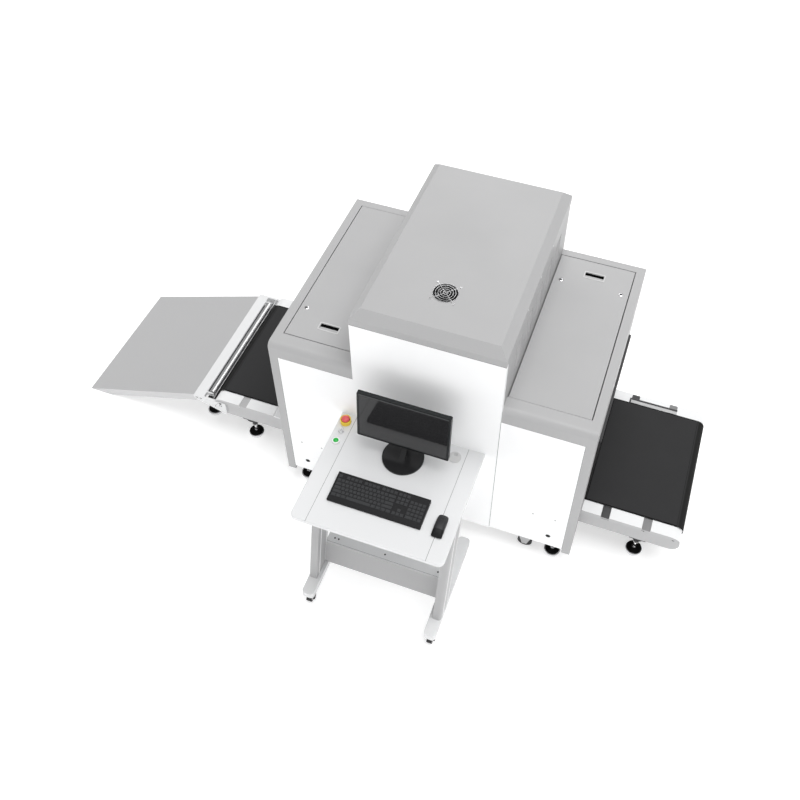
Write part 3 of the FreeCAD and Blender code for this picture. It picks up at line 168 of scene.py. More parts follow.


# %% [markdown]
# ## Effects that several finishes share
# Powder coat, steel, rubber and plastic all need fine grain, and all collect a little dust and
# take a different colour at their edges, partly wear and partly a painted highlight. Each effect
# is a node group with named inputs, built once and placed in each material with its own values.

# %% A helper that builds node groups
def new_group(name, inputs, outputs):
    tree = bpy.data.node_groups.new(name, "ShaderNodeTree")
    for socket, kind, value in inputs:
        item = tree.interface.new_socket(name=socket, in_out="INPUT", socket_type=kind)
        if value is not None:
            item.default_value = value
    for socket, kind in outputs:
        tree.interface.new_socket(name=socket, in_out="OUTPUT", socket_type=kind)
    return tree, tree.nodes.new("NodeGroupInput"), tree.nodes.new("NodeGroupOutput")


def wire(tree, source, out, target, into):
    tree.links.new(source.outputs[out], target.inputs[into])


def math_node(tree, operation, first=None, second=None, clamp=False):
    item = tree.nodes.new("ShaderNodeMath")
    item.operation = operation
    item.use_clamp = clamp
    for number, value in enumerate((first, second)):
        if isinstance(value, (int, float)):
            item.inputs[number].default_value = value
        elif value is not None:
            tree.links.new(value, item.inputs[number])
    return item


# %% Orange peel: the tiny waves of sprayed powder
peel, peel_in, peel_out = new_group(
    "orange_peel",
    [("Scale", "NodeSocketFloat", 700.0), ("Depth", "NodeSocketFloat", 0.2)],
    [("Normal", "NodeSocketVector"), ("Mottle", "NodeSocketFloat")])
peel_place = peel.nodes.new("ShaderNodeTexCoord")
peel_noise = peel.nodes.new("ShaderNodeTexNoise")
peel_noise.inputs["Detail"].default_value = 3.0
wire(peel, peel_place, "Object", peel_noise, "Vector")
wire(peel, peel_in, "Scale", peel_noise, "Scale")
peel_bump = peel.nodes.new("ShaderNodeBump")
peel_bump.inputs["Distance"].default_value = 0.0004
wire(peel, peel_in, "Depth", peel_bump, "Strength")
wire(peel, peel_noise, 0, peel_bump, "Height")
wire(peel, peel_bump, "Normal", peel_out, "Normal")
peel_clouds = peel.nodes.new("ShaderNodeTexNoise")
peel_clouds.inputs["Scale"].default_value = 2.2
peel_clouds.inputs["Detail"].default_value = 5.0
wire(peel, peel_place, "Object", peel_clouds, "Vector")
wire(peel, peel_clouds, 0, peel_out, "Mottle")
print("group", peel.name)

# %% Brushed grain: long fine scratches in one direction
grain, grain_in, grain_out = new_group(
    "brushed_grain",
    [("Stretch", "NodeSocketVector", (4.0, 900.0, 900.0)), ("Turn", "NodeSocketFloat", 0.0),
     ("Depth", "NodeSocketFloat", 0.3)],
    [("Normal", "NodeSocketVector"), ("Streak", "NodeSocketFloat")])
grain_place = grain.nodes.new("ShaderNodeTexCoord")
grain_turn = grain.nodes.new("ShaderNodeVectorRotate")
grain_turn.rotation_type = "Z_AXIS"
wire(grain, grain_place, "Object", grain_turn, "Vector")
wire(grain, grain_in, "Turn", grain_turn, "Angle")
grain_scale = grain.nodes.new("ShaderNodeVectorMath")
grain_scale.operation = "MULTIPLY"
wire(grain, grain_turn, 0, grain_scale, 0)
wire(grain, grain_in, "Stretch", grain_scale, 1)
grain_noise = grain.nodes.new("ShaderNodeTexNoise")
grain_noise.inputs["Scale"].default_value = 1.0
grain_noise.inputs["Detail"].default_value = 4.0
wire(grain, grain_scale, 0, grain_noise, "Vector")
grain_bump = grain.nodes.new("ShaderNodeBump")
grain_bump.inputs["Distance"].default_value = 0.0003
wire(grain, grain_in, "Depth", grain_bump, "Strength")
wire(grain, grain_noise, 0, grain_bump, "Height")
wire(grain, grain_bump, "Normal", grain_out, "Normal")
wire(grain, grain_noise, 0, grain_out, "Streak")
print("group", grain.name)

# %% Edge wear and painted edge highlight: a mask where the surface turns sharply
wear_and_highlight, wear_in, wear_out = new_group(
    "edge_wear_and_highlight", [("Reach", "NodeSocketFloat", 0.0015), ("Contrast", "NodeSocketFloat", 3.0)],
    [("Mask", "NodeSocketFloat")])
wear_round = wear_and_highlight.nodes.new("ShaderNodeBevel")
wear_round.samples = 4
wire(wear_and_highlight, wear_in, "Reach", wear_round, "Radius")
wear_flat = wear_and_highlight.nodes.new("ShaderNodeNewGeometry")
wear_dot = wear_and_highlight.nodes.new("ShaderNodeVectorMath")
wear_dot.operation = "DOT_PRODUCT"
wire(wear_and_highlight, wear_round, "Normal", wear_dot, 0)
wire(wear_and_highlight, wear_flat, "Normal", wear_dot, 1)
wear_gap = math_node(wear_and_highlight, "SUBTRACT", 1.0, wear_dot.outputs["Value"])
wear_sharp = math_node(wear_and_highlight, "MULTIPLY", wear_gap.outputs[0], wear_in.outputs["Contrast"], True)
wear_place = wear_and_highlight.nodes.new("ShaderNodeTexCoord")
wear_noise = wear_and_highlight.nodes.new("ShaderNodeTexNoise")
wear_noise.inputs["Scale"].default_value = 60.0
wire(wear_and_highlight, wear_place, "Object", wear_noise, "Vector")
wear_mix = math_node(wear_and_highlight, "MULTIPLY", wear_sharp.outputs[0], wear_noise.outputs[0], True)
wear_and_highlight.links.new(wear_mix.outputs[0], wear_out.inputs["Mask"])
print("group", wear_and_highlight.name)

# %% Dust: it settles in soft patches on what faces up
dust, dust_in, dust_out = new_group(
    "settled_dust", [("Amount", "NodeSocketFloat", 0.3)], [("Mask", "NodeSocketFloat")])
dust_shape = dust.nodes.new("ShaderNodeNewGeometry")
dust_axes = dust.nodes.new("ShaderNodeSeparateXYZ")
wire(dust, dust_shape, "Normal", dust_axes, 0)
dust_up = math_node(dust, "POWER", None, 3.0, True)
dust_face = math_node(dust, "MAXIMUM", dust_axes.outputs["Z"], 0.0)
dust.links.new(dust_face.outputs[0], dust_up.inputs[0])
dust_place = dust.nodes.new("ShaderNodeTexCoord")
dust_noise = dust.nodes.new("ShaderNodeTexNoise")
dust_noise.inputs["Scale"].default_value = 7.0
dust_noise.inputs["Detail"].default_value = 8.0
wire(dust, dust_place, "Object", dust_noise, "Vector")
dust_patch = math_node(dust, "MULTIPLY", dust_up.outputs[0], dust_noise.outputs[0])
dust_all = math_node(dust, "MULTIPLY", dust_patch.outputs[0], dust_in.outputs["Amount"], True)
dust.links.new(dust_all.outputs[0], dust_out.inputs["Mask"])
print("group", dust.name)

# %% Weave: the fabric that shows through the belt's thin rubber
weave, weave_in, weave_out = new_group(
    "fabric_weave", [("Threads", "NodeSocketFloat", 900.0), ("Depth", "NodeSocketFloat", 0.4)],
    [("Normal", "NodeSocketVector"), ("Thread", "NodeSocketFloat")])
weave_place = weave.nodes.new("ShaderNodeTexCoord")
waves = []
for direction in ("X", "Y"):
    wave = weave.nodes.new("ShaderNodeTexWave")
    wave.wave_type = "BANDS"
    wave.bands_direction = direction
    wave.inputs["Distortion"].default_value = 0.4
    wire(weave, weave_place, "Object", wave, "Vector")
    wire(weave, weave_in, "Threads", wave, "Scale")
    waves.append(wave)
weave_mix = math_node(weave, "MAXIMUM", waves[0].outputs[1], waves[1].outputs[1])
weave_bump = weave.nodes.new("ShaderNodeBump")
weave_bump.inputs["Distance"].default_value = 0.0003
wire(weave, weave_in, "Depth", weave_bump, "Strength")
weave.links.new(weave_mix.outputs[0], weave_bump.inputs["Height"])
wire(weave, weave_bump, "Normal", weave_out, "Normal")
weave.links.new(weave_mix.outputs[0], weave_out.inputs["Thread"])
print("group", weave.name)


# %% [markdown]
# ## Finishes
# Every finish starts from the same recipe: a main colour that drifts a little, an edge colour
# (partly wear, partly a painted highlight) or a dusty colour mixed in by a mask, and a fine bump.
# What differs is the group that makes the bump and the numbers on the shader.

# %% A helper that places a group in a material
def place_group(tree, group, **values):
    item = tree.nodes.new("ShaderNodeGroup")
    item.node_tree = group
    for socket, value in values.items():
        item.inputs[socket].default_value = value
    return item


def blend_colours(tree, factor, first, second):
    """Mixes two colours; each is a tuple or an output socket."""
    item = tree.nodes.new("ShaderNodeMix")
    item.data_type = "RGBA"
    for socket, value in ((item.inputs[6], first), (item.inputs[7], second)):
        if isinstance(value, tuple):
            socket.default_value = (*value, 1.0)
        else:
            tree.links.new(value, socket)
    tree.links.new(factor, item.inputs[0])
    return item.outputs[2]


def ramp(tree, value, low, high, dark, bright):
    """Stretches the range low to high of a value to dark to bright."""
    item = tree.nodes.new("ShaderNodeMapRange")
    item.inputs["From Min"].default_value = low
    item.inputs["From Max"].default_value = high
    item.inputs["To Min"].default_value = dark
    item.inputs["To Max"].default_value = bright
    tree.links.new(value, item.inputs["Value"])
    return item.outputs["Result"]


def finish_start(name, roughness, metallic=0.0, specular=0.5):
    material = bpy.data.materials.new(name)
    material.use_nodes = True
    tree = material.node_tree
    shader = tree.nodes["Principled BSDF"]
    shader.inputs["Roughness"].default_value = roughness
    shader.inputs["Metallic"].default_value = metallic
    shader.inputs["Specular IOR Level"].default_value = specular
    return material, tree, shader


def finish_end(tree, shader, colour, skin, drift, roughness, smoother, rougher):
    """Links the colour, the skin's bump, and a roughness that drifts between two limits."""
    smoothest = max(0.02, roughness - smoother)
    drifting = ramp(tree, skin.outputs[drift], 0.3, 0.7, smoothest, roughness + rougher)
    tree.links.new(colour, shader.inputs["Base Color"])
    tree.links.new(drifting, shader.inputs["Roughness"])
    tree.links.new(skin.outputs["Normal"], shader.inputs["Normal"])


def dimmed(colour, share):
    return tuple(min(1.0, value * share) for value in colour)


# %% Powder coat: the grey and white of the housing and of the desk's frame
def powder_coat(name, colour, worn_and_highlit_edge, roughness, peel_depth=0.18, dusty=0.25):
    material, tree, shader = finish_start(name, roughness)
    skin = place_group(tree, peel, Scale=650.0, Depth=peel_depth)
    edge = place_group(tree, wear_and_highlight, Reach=0.0012, Contrast=2.0)
    film = place_group(tree, dust, Amount=dusty)
    clouds = ramp(tree, skin.outputs["Mottle"], 0.35, 0.65, 0.0, 1.0)
    drift = blend_colours(tree, clouds, colour, dimmed(colour, 0.965))
    # The edge colour is partly wear and partly a painted highlight along sharp edges.
    edged = blend_colours(tree, edge.outputs["Mask"], drift, worn_and_highlit_edge)
    dusted = blend_colours(tree, film.outputs["Mask"], edged, (0.62, 0.61, 0.59))
    finish_end(tree, shader, dusted, skin, "Mottle", roughness, 0.04, 0.05)
    return material


grey_coat = powder_coat("grey_coat_finish", (0.39, 0.39, 0.394), (0.52, 0.52, 0.52), 0.45, 0.18, 0.06)
panel_white = powder_coat("panel_white_finish", (0.92, 0.925, 0.93), (0.8, 0.8, 0.8), 0.4, 0.12, 0.02)
# A darker copy of the same white for surfaces seen from above: painted shade that offsets the stronger light
# on tops.
top_white_shaded = powder_coat("top_white_shaded_finish", (0.67, 0.675, 0.68), (0.78, 0.78, 0.78), 0.4, 0.12, 0.02)
tab_grey = powder_coat("tab_grey_finish", (0.19, 0.19, 0.193), (0.3, 0.3, 0.3), 0.5, 0.18, 0.03)
rail_coat = powder_coat("rail_coat_finish", (0.43, 0.43, 0.435), (0.55, 0.55, 0.55), 0.42, 0.18, 0.05)
frame_coat = powder_coat("desk_grey_finish", (0.4, 0.4, 0.405), (0.55, 0.55, 0.55), 0.42, 0.18, 0.05)
dark_coat = powder_coat("dark_coat_finish", (0.028, 0.028, 0.03), (0.08, 0.08, 0.08), 0.55, 0.18, 0.02)
print("powder coats ready")


# %% Steel: brushed sheet and bright plated parts
def steel(name, colour, roughness, stretch, angle=0.0, depth=0.25, metallic=1.0):
    material, tree, shader = finish_start(name, roughness, metallic=metallic)
    scratch = place_group(tree, grain, Stretch=stretch, Turn=angle, Depth=depth)
    edge = place_group(tree, wear_and_highlight, Reach=0.001, Contrast=2.0)
    streaked = blend_colours(tree, scratch.outputs["Streak"], dimmed(colour, 0.86), colour)
    # Edges brightened through the edge mask: partly wear, partly a painted highlight.
    highlit_edge = blend_colours(tree, edge.outputs["Mask"], streaked, dimmed(colour, 1.15))
    finish_end(tree, shader, highlit_edge, scratch, "Streak", roughness, 0.06, 0.08)
    return material


sheet_steel = steel("sheet_steel", (0.62, 0.62, 0.625), 0.34, (900.0, 5.0, 900.0))
ramp_steel = steel("ramp_steel", (0.56, 0.56, 0.565), 0.5, (26.0, 700.0, 26.0), math.radians(52), 0.2, 0.4)
bright_steel = steel("bright_steel", (0.8, 0.8, 0.81), 0.12, (60.0, 60.0, 60.0), 0.0, 0.03)
print("steels ready")


# %% Rubber and plastic
def rubber(name, colour, dusty_colour, roughness, grain_size=500.0, depth=0.3):
    material, tree, shader = finish_start(name, roughness, specular=0.35)
    skin = place_group(tree, peel, Scale=grain_size, Depth=depth)
    film = place_group(tree, dust, Amount=0.35)
    drift = blend_colours(tree, skin.outputs["Mottle"], colour, dimmed(colour, 0.8))
    dusted = blend_colours(tree, film.outputs["Mask"], drift, dusty_colour)
    finish_end(tree, shader, dusted, skin, "Mottle", roughness, 0.05, 0.06)
    return material


def plastic(name, colour, roughness, depth=0.12, specular=0.5):
    material, tree, shader = finish_start(name, roughness, specular=specular)
    skin = place_group(tree, peel, Scale=900.0, Depth=depth)
    edge = place_group(tree, wear_and_highlight, Reach=0.0008, Contrast=1.5)
    # Edges turn lighter through the edge mask: partly wear, partly a painted highlight.
    lighter = tuple(min(1.0, value * 1.2 + 0.01) for value in colour)
    drift = blend_colours(tree, skin.outputs["Mottle"], colour, dimmed(colour, 0.92))
    edged = blend_colours(tree, edge.outputs["Mask"], drift, lighter)
    finish_end(tree, shader, edged, skin, "Mottle", roughness, 0.03, 0.04)
    return material


tyre_rubber = rubber("tyre_rubber", (0.022, 0.022, 0.023), (0.09, 0.09, 0.088), 0.6)
curtain_rubber = rubber(
    "curtain_rubber_finish", (0.014, 0.014, 0.015), (0.05, 0.05, 0.05), 0.5, 300.0, 0.15)
soft_black = plastic("soft_black", (0.009, 0.009, 0.01), 0.5, specular=0.18)
key_black = plastic("key_black", (0.036, 0.037, 0.039), 0.6, specular=0.2)
mouse_black = plastic("mouse_black", (0.028, 0.028, 0.03), 0.45, specular=0.25)
deep_black = plastic("deep_black", (0.003, 0.003, 0.003), 0.6, specular=0.08)
pale_plastic = plastic("pale_plastic_finish", (0.55, 0.55, 0.55), 0.4)
stand_black = plastic("stand_black", (0.018, 0.018, 0.019), 0.16, 0.01, specular=0.4)
screen_black = plastic("screen_black", (0.01, 0.012, 0.013), 0.35, 0.02, specular=0.25)
pane_black = plastic("pane_black", (0.02, 0.02, 0.021), 0.05, 0.003, specular=0.55)
bezel_grey = plastic("bezel_grey", (0.05, 0.053, 0.054), 0.4, 0.02, specular=0.3)
stop_red = plastic("stop_red", (0.76, 0.11, 0.12), 0.3, 0.04)
stop_yellow = plastic("stop_yellow", (0.85, 0.6, 0.04), 0.35, 0.06)
start_green = plastic("start_green", (0.01, 0.42, 0.05), 0.25, 0.03)
print("rubbers and plastics ready")

# %% The belt: thin matt rubber on woven fabric, with painted shade where it bends round the drums
belt_rubber, belt_tree, belt_shader = finish_start("belt_finish", 0.75, specular=0.16)
belt_weave = place_group(belt_tree, weave, Threads=160.0, Depth=0.25)
belt_film = place_group(belt_tree, dust, Amount=0.1)
belt_thread = blend_colours(
    belt_tree, belt_weave.outputs["Thread"], (0.022, 0.022, 0.023), (0.028, 0.028, 0.029))
belt_dusted = blend_colours(belt_tree, belt_film.outputs["Mask"], belt_thread, (0.06, 0.06, 0.06))
belt_shape = belt_tree.nodes.new("ShaderNodeNewGeometry")
belt_axes = belt_tree.nodes.new("ShaderNodeSeparateXYZ")
wire(belt_tree, belt_shape, "Normal", belt_axes, 0)
# Painted shade: where the belt's surface tilts away from straight up, round the drums, its colour goes nearly
# black.
belt_bend_shade = ramp(belt_tree, belt_axes.outputs["Z"], 0.97, 0.9995, 1.0, 0.0)
belt_shaded_bends = blend_colours(belt_tree, belt_bend_shade, belt_dusted, (0.011, 0.011, 0.011))
belt_tree.links.new(belt_shaded_bends, belt_shader.inputs["Base Color"])
belt_tree.links.new(belt_weave.outputs["Normal"], belt_shader.inputs["Normal"])
print("belt ready")

# %% The covers' two finishes: white on what faces up, the rail's grey on the lip at the side
cover_paint, cover_tree, cover_shader = finish_start("cover_finish", 0.4)
cover_skin = place_group(cover_tree, peel, Scale=650.0, Depth=0.12)
cover_shape = cover_tree.nodes.new("ShaderNodeNewGeometry")
cover_axes = cover_tree.nodes.new("ShaderNodeSeparateXYZ")
wire(cover_tree, cover_shape, "Normal", cover_axes, 0)
cover_side = math_node(cover_tree, "ABSOLUTE", cover_axes.outputs["Y"])
cover_share = ramp(cover_tree, cover_side.outputs[0], 0.6, 0.8, 0.0, 1.0)
cover_drift = blend_colours(
    cover_tree, cover_skin.outputs["Mottle"], (0.76, 0.765, 0.77), (0.73, 0.735, 0.74))
cover_two = blend_colours(cover_tree, cover_share, cover_drift, (0.43, 0.43, 0.435))
cover_tree.links.new(cover_two, cover_shader.inputs["Base Color"])
cover_tree.links.new(cover_skin.outputs["Normal"], cover_shader.inputs["Normal"])
print("covers ready")

# %% The desk's laminate: nearly white, with the faintest pattern of fibres
laminate, laminate_tree, laminate_shader = finish_start("desk_laminate", 0.28)
laminate_skin = place_group(laminate_tree, peel, Scale=260.0, Depth=0.05)
laminate_drift = blend_colours(
    laminate_tree, laminate_skin.outputs["Mottle"], (0.69, 0.695, 0.702), (0.675, 0.68, 0.687))
laminate_tree.links.new(laminate_drift, laminate_shader.inputs["Base Color"])
laminate_tree.links.new(laminate_skin.outputs["Normal"], laminate_shader.inputs["Normal"])
print("laminate ready")


# %% [markdown]
# ## Dressing the solids
# A solid whose shape is right stays. It gets its finish in its material slots, and a bevel
# modifier that softens the edges as bent sheet metal is softened, which also draws the fine
# seams between neighbouring panels.

# %% Finishes on the solids
def dress(finish, names, edge=0.0):
    for name in names:
        item = NODES[name]
        item.data.materials.clear()
        item.data.materials.append(finish)
        if edge:
            softened = item.modifiers.new("soft_edge", "BEVEL")
            softened.width = edge
            softened.segments = 2
            softened.limit_method = "ANGLE"
            softened.angle_limit = math.radians(50)
            softened.harden_normals = False


CORNERS = [f"{row}_{side}" for row in ("front", "back") for side in ("left", "right")]
dress(grey_coat, ["tower_cap"], 0.0035)
dress(grey_coat, ["tower_side_panels", "end_frame_left", "end_frame_right", "hood_top_left",
                  "hood_top_right", "lid_left", "lid_right", "base_frame"], 0.0012)
dress(panel_white, ["tower_front_panel", "tower_back_panel", "hood_front_panels", "hood_back_panels"], 0.0012)
dress(top_white_shaded, ["desk_foot_bars", "transfer_frame"], 0.0012)
dress(cover_paint, ["belt_covers"], 0.0008)
dress(rail_coat, ["rail_front", "rail_back", "cross_members"], 0.0008)
dress(frame_coat, ["desk_legs", "desk_stretcher"], 0.001)
dress(sheet_steel, ["tunnel_liner", "slider_bed", "belt_drums", "transfer_roller"])
dress(ramp_steel, ["ramp"])
dress(bright_steel, ["fan_guard", "foot_pads", "foot_stems", "key_plug"])
dress(dark_coat, ["foot_brackets", "curtain_clamps", "transfer_pan"])
dress(belt_rubber, ["belt"])
dress(tyre_rubber, [f"{kind}_wheel_{corner}" for kind in ("caster", "desk") for corner in CORNERS])
dress(soft_black, ["fan_frame", "fan_rotor", "keyboard", "mouse"])
dress(soft_black, [f"desk_fork_{corner}" for corner in CORNERS])
dress(screen_black, ["monitor"])
dress(stand_black, ["monitor_stand"])
dress(laminate, ["desk_top"])
dress(pale_plastic, ["control_bezels", "cable_grommet"])
dress(stop_yellow, ["stop_base"])
dress(stop_red, ["stop_button"])
dress(start_green, ["start_button"])
dress(curtain_rubber, ["curtain_left", "curtain_right"])
print("dressed", len(NODES), "nodes")


# %% [markdown]
# ## Helpers that make pieces
# Small round things, such as locks and screws, are turned shapes: a half profile that is spun
# round an axis. Flat things, such as keys, are blocks with softened edges.

# %% Making a piece from a mesh that is being built
def finish_piece(name, mesh_data, finish, body, smooth_angle=35.0):
    mesh = bpy.data.meshes.new(name)
    mesh_data.to_mesh(mesh)
    mesh_data.free()
    finishes = finish if isinstance(finish, (list, tuple)) else [finish]
    for item in finishes:
        mesh.materials.append(item)
    piece = bpy.data.objects.new(name, mesh)
    bpy.context.scene.collection.objects.link(piece)
    mesh.shade_smooth()
    mesh.set_sharp_from_angle(angle=math.radians(smooth_angle))
    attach(piece, body)
    print("made", name, "with", len(mesh.polygons), "faces")
    return piece


def spun(work, outline, place, steps=40, axis=(0, 0, 1), slot_number=0):
    """Adds a turned shape: outline is a list of (radius, height) from the axis outward and back."""
    turn_to = Vector((0, 0, 1)).rotation_difference(Vector(axis)).to_matrix().to_4x4()
    move = Matrix.Translation(place) @ turn_to
    rings = []
    for radius, height in outline:
        if radius < 1e-7:
            rings.append([work.verts.new(move @ Vector((0, 0, height)))])
            continue
        ring = []
        for step in range(steps):
            angle = 2 * math.pi * step / steps
            spot = Vector((radius * math.cos(angle), radius * math.sin(angle), height))
            ring.append(work.verts.new(move @ spot))
        rings.append(ring)
    for lower, upper in zip(rings, rings[1:]):
        for step in range(steps):
            after = (step + 1) % steps
            if len(lower) == 1 and len(upper) == 1:
                continue
            if len(lower) == 1:
                corners = [lower[0], upper[after], upper[step]]
            elif len(upper) == 1:
                corners = [lower[step], lower[after], upper[0]]
            else:
                corners = [lower[step], lower[after], upper[after], upper[step]]
            face = work.faces.new(corners)
            face.material_index = slot_number
    return work


def block(work, low, high, soft=0.0, segments=2, slot_number=0):
    """Adds a block between two corners with softened edges."""
    made = bmesh.ops.create_cube(work, size=1.0)["verts"]
    size = high - low
    middle = (high + low) / 2
    for vertex in made:
        vertex.co = Vector((vertex.co.x * size.x, vertex.co.y * size.y, vertex.co.z * size.z)) + middle
    faces = {face for vertex in made for face in vertex.link_faces}
    for face in faces:
        face.material_index = slot_number
    if soft:
        edges = list({edge for vertex in made for edge in vertex.link_edges})
        bmesh.ops.bevel(work, geom=edges, offset=soft, segments=segments, affect="EDGES", profile=0.7,
                        material=slot_number)
    return work


def rounded_loop(half_x, half_y, radius, steps=5):
    """The outline of a rectangle with round corners, as a list of x and y."""
    spots = []
    for corner_x, corner_y, start in ((1, 1, 0), (-1, 1, 90), (-1, -1, 180), (1, -1, 270)):
        for step in range(steps + 1):
            angle = math.radians(start + 90 * step / steps)
            spots.append((corner_x * (half_x - radius) + radius * math.cos(angle),
                          corner_y * (half_y - radius) + radius * math.sin(angle)))
    return spots


def lofted(work, rings, place, turn=None, slot_number=0, close=True):
    """Joins outlines that lie above each other; a ring is half_x, half_y, corner, height in mm."""
    turn = turn or Matrix.Identity(3)
    loops = []
    for ring in rings:
        half_x, half_y, corner, height = (value / 1000 for value in ring)
        loops.append([work.verts.new(place + turn @ Vector((x, y, height)))
                      for x, y in rounded_loop(half_x, half_y, corner)])
    for lower, upper in zip(loops, loops[1:]):
        for step in range(len(lower)):
            after = (step + 1) % len(lower)
            face = work.faces.new((lower[step], lower[after], upper[after], upper[step]))
            face.material_index = slot_number
    if close:
        work.faces.new(loops[-1]).material_index = slot_number
    return work


def slab(work, low, high, soft=0.0, slot_number=0):
    """A block between two corners in millimetres from the tower's foot."""
    return block(work, at(*low), at(*high), soft / 1000, 2, slot_number)


FACING_FRONT = Matrix(((1, 0, 0), (0, 0, -1), (0, 1, 0)))
TO_FRONT, TO_BACK = (0, -1, 0), (0, 1, 0)
print("helpers ready")


# %% [markdown]
# ## Locks and screws
# Each lid is held by two cam locks: a bright ring flush with the lid and a plug with a keyway.
# The front panels and the tower's cap are held by small screws.

# %% Cam locks in the lids
def cam_lock(work, place, radius=0.0115):
    spun(work, [(0, 0.0004), (radius * 0.4, 0.0004), (radius * 0.5, 0.001)], place, slot_number=1)
    spun(work, [(radius * 0.5, 0.001), (radius * 0.55, 0.0022), (radius * 0.88, 0.002), (radius, 0.001),
                (radius, -0.002)], place)


LID_TOP = 1113
for side_name, body, spots in (
        ("left", "left_lid", ((-699.4, 274.0), (-396.0, 272.0))),
        ("right", "right_lid", ((395.7, 876.5), (693.4, 873.4)))):
    locks = bmesh.new()
    for lock_x, lock_y in spots:
        cam_lock(locks, at(lock_x, lock_y, LID_TOP))
    finish_piece(f"lid_locks_{side_name}", locks, [bright_steel, deep_black], body)

# %% Rims of the recessed pulls, with a black lining in each well as painted shade
PULL_RIM = [(53, 24.5, 6.5, 0), (53, 24.5, 6.5, 1.3), (52, 23.5, 5.6, 2.1), (47.6, 19.1, 3, 2.1),
            (46.4, 17.9, 2.2, 1.4), (46.2, 17.7, 2, -4.8)]
PULL_WELL_SHADE = [(46.1, 8.8, 0.6, -4.7), (46.1, 8.8, 0.6, -15.6)]
WELL_SETBACK = 9
for side_name, body, pull_x, pull_y in (
        ("left", "left_lid", -545.5, 189), ("right", "right_lid", 545.5, 952)):
    pull = bmesh.new()
    lofted(pull, PULL_RIM, at(pull_x, pull_y, LID_TOP), close=False)
    # A black lining deep in the well: painted shade.
    lofted(pull, PULL_WELL_SHADE, at(pull_x, pull_y + WELL_SETBACK, LID_TOP), slot_number=1)
    finish_piece(f"pull_rim_{side_name}", pull, [pale_plastic, deep_black], body)

# %% Screws in the cap and the panels
TOWER_SIDE = 352.5
HOOD_FACE = 6
SCREW_HEAD = [(0, 0.0006), (0.00096, 0.0006), (0.0016, 0.0016), (0.00288, 0.001), (0.0032, 0.0)]
cap_screws = bmesh.new()
for screw_y in (544, 758, 330):
    for side in (-1, 1):
        spun(cap_screws, SCREW_HEAD, at(side * TOWER_SIDE, screw_y, 1425), steps=14, axis=(side, 0, 0))
finish_piece("cap_screws", cap_screws, bright_steel, "machine")

PLUG = [(0, 0.0002), (0.0035, 0.0002), (0.0042, 0.0006), (0.005, 0.0)]
panel_marks = bmesh.new()
for mark_x in (-674, -562, 674, 562):
    spun(panel_marks, PLUG, at(mark_x, HOOD_FACE, 373), steps=16, axis=TO_FRONT)
finish_piece("panel_plugs", panel_marks, frame_coat, "machine")

PANEL_LOCK = [(0, 0.0015), (0.006, 0.0015), (0.0065, 0.0008), (0.011, 0.0012), (0.0125, 0.0)]
panel_lock = bmesh.new()
for lock_x in (-654.5, 654.5):
    spun(panel_lock, PANEL_LOCK, at(lock_x, HOOD_FACE, 214), steps=28, axis=TO_FRONT)
finish_piece("panel_locks", panel_lock, soft_black, "machine")

# %% Dark seams between the panels
SEAM_FOOT, SEAM_HEAD = 131, 1026
seams = bmesh.new()
for seam_x, seam_y, wide in (
        (-353.8, 4.8, 1.6), (352.2, 4.8, 1.6), (-735.2, 5.7, 1.2), (734.0, 5.7, 1.2)):
    slab(seams, (seam_x, seam_y, SEAM_FOOT), (seam_x + wide, HOOD_FACE + 0.2, SEAM_HEAD))
for low_x, high_x in ((-734, -353), (353, 734)):
    slab(seams, (low_x, 5.7, SEAM_HEAD + 0.5), (high_x, HOOD_FACE + 0.2, SEAM_HEAD + 1.7))
slab(seams, (-352, -0.3, 1405.4), (352, 0.3, 1406.8))
finish_piece("panel_seams", seams, soft_black, "machine")

# %% [markdown]
# ## Along the conveyor
# The cover strips leave gaps over the cross members, and tabs close them: a dark one beside the
# mouth, grey ones further out. Thin dark lines mark the belt's edges, painted shade marks where it
# starts to bend, painted shadow lies on it at the mouths, and a painted shadow line runs along the rail's
# face.

# %% Tabs in the cover strips
RAIL_TOP = 292.2
COVER_TOP = 302.1
TABS = [(877.5, 918.5, 299, 0), (1082.5, 1123.5, 299, 4), (-918.5, -877.5, 302, 2),
        (-1123.5, -1082.5, 300, 3)]
tabs = bmesh.new()
for near_y, far_y in ((153, 219), (901, 967)):
    for low_x, high_x, tab_top, finish_number in TABS:
        slab(tabs, (low_x, near_y, RAIL_TOP), (high_x, far_y, tab_top), 1, finish_number)
slab(tabs, (876, 905, COVER_TOP), (1126, 926, 304), 0.5, 1)
slab(tabs, (874, 926.5, COVER_TOP), (1126, 934, 308), 0.8, 0)
slab(tabs, (868, 905, COVER_TOP), (876, 934, 306), 0.8, 0)
finish_piece("cover_tabs", tabs, [dark_coat, rail_coat, top_white_shaded, grey_coat, tab_grey], "machine")

# %% Lines on the belt: dark edge lines, painted shade where it starts to bend and painted shadow at the mouths
IN_BELT, ON_BELT = 306.9, 307.4
lines = bmesh.new()
for line_y in (219.9, 895.6):
    slab(lines, (-1240, line_y, IN_BELT), (1240, line_y + 4.5, ON_BELT))
# Black bands across the belt at both mouths: painted shadow.
for line_x in (-787.5, 777.7):
    slab(lines, (line_x, 220, IN_BELT), (line_x + 9.8, 900, ON_BELT))
# Thin black lines where the belt starts to bend at each end: painted shade.
for line_x in (-1241, 1240):
    slab(lines, (line_x, 221, IN_BELT), (line_x + 1.2, 899, ON_BELT - 0.15))
finish_piece("belt_lines", lines, deep_black, "machine")

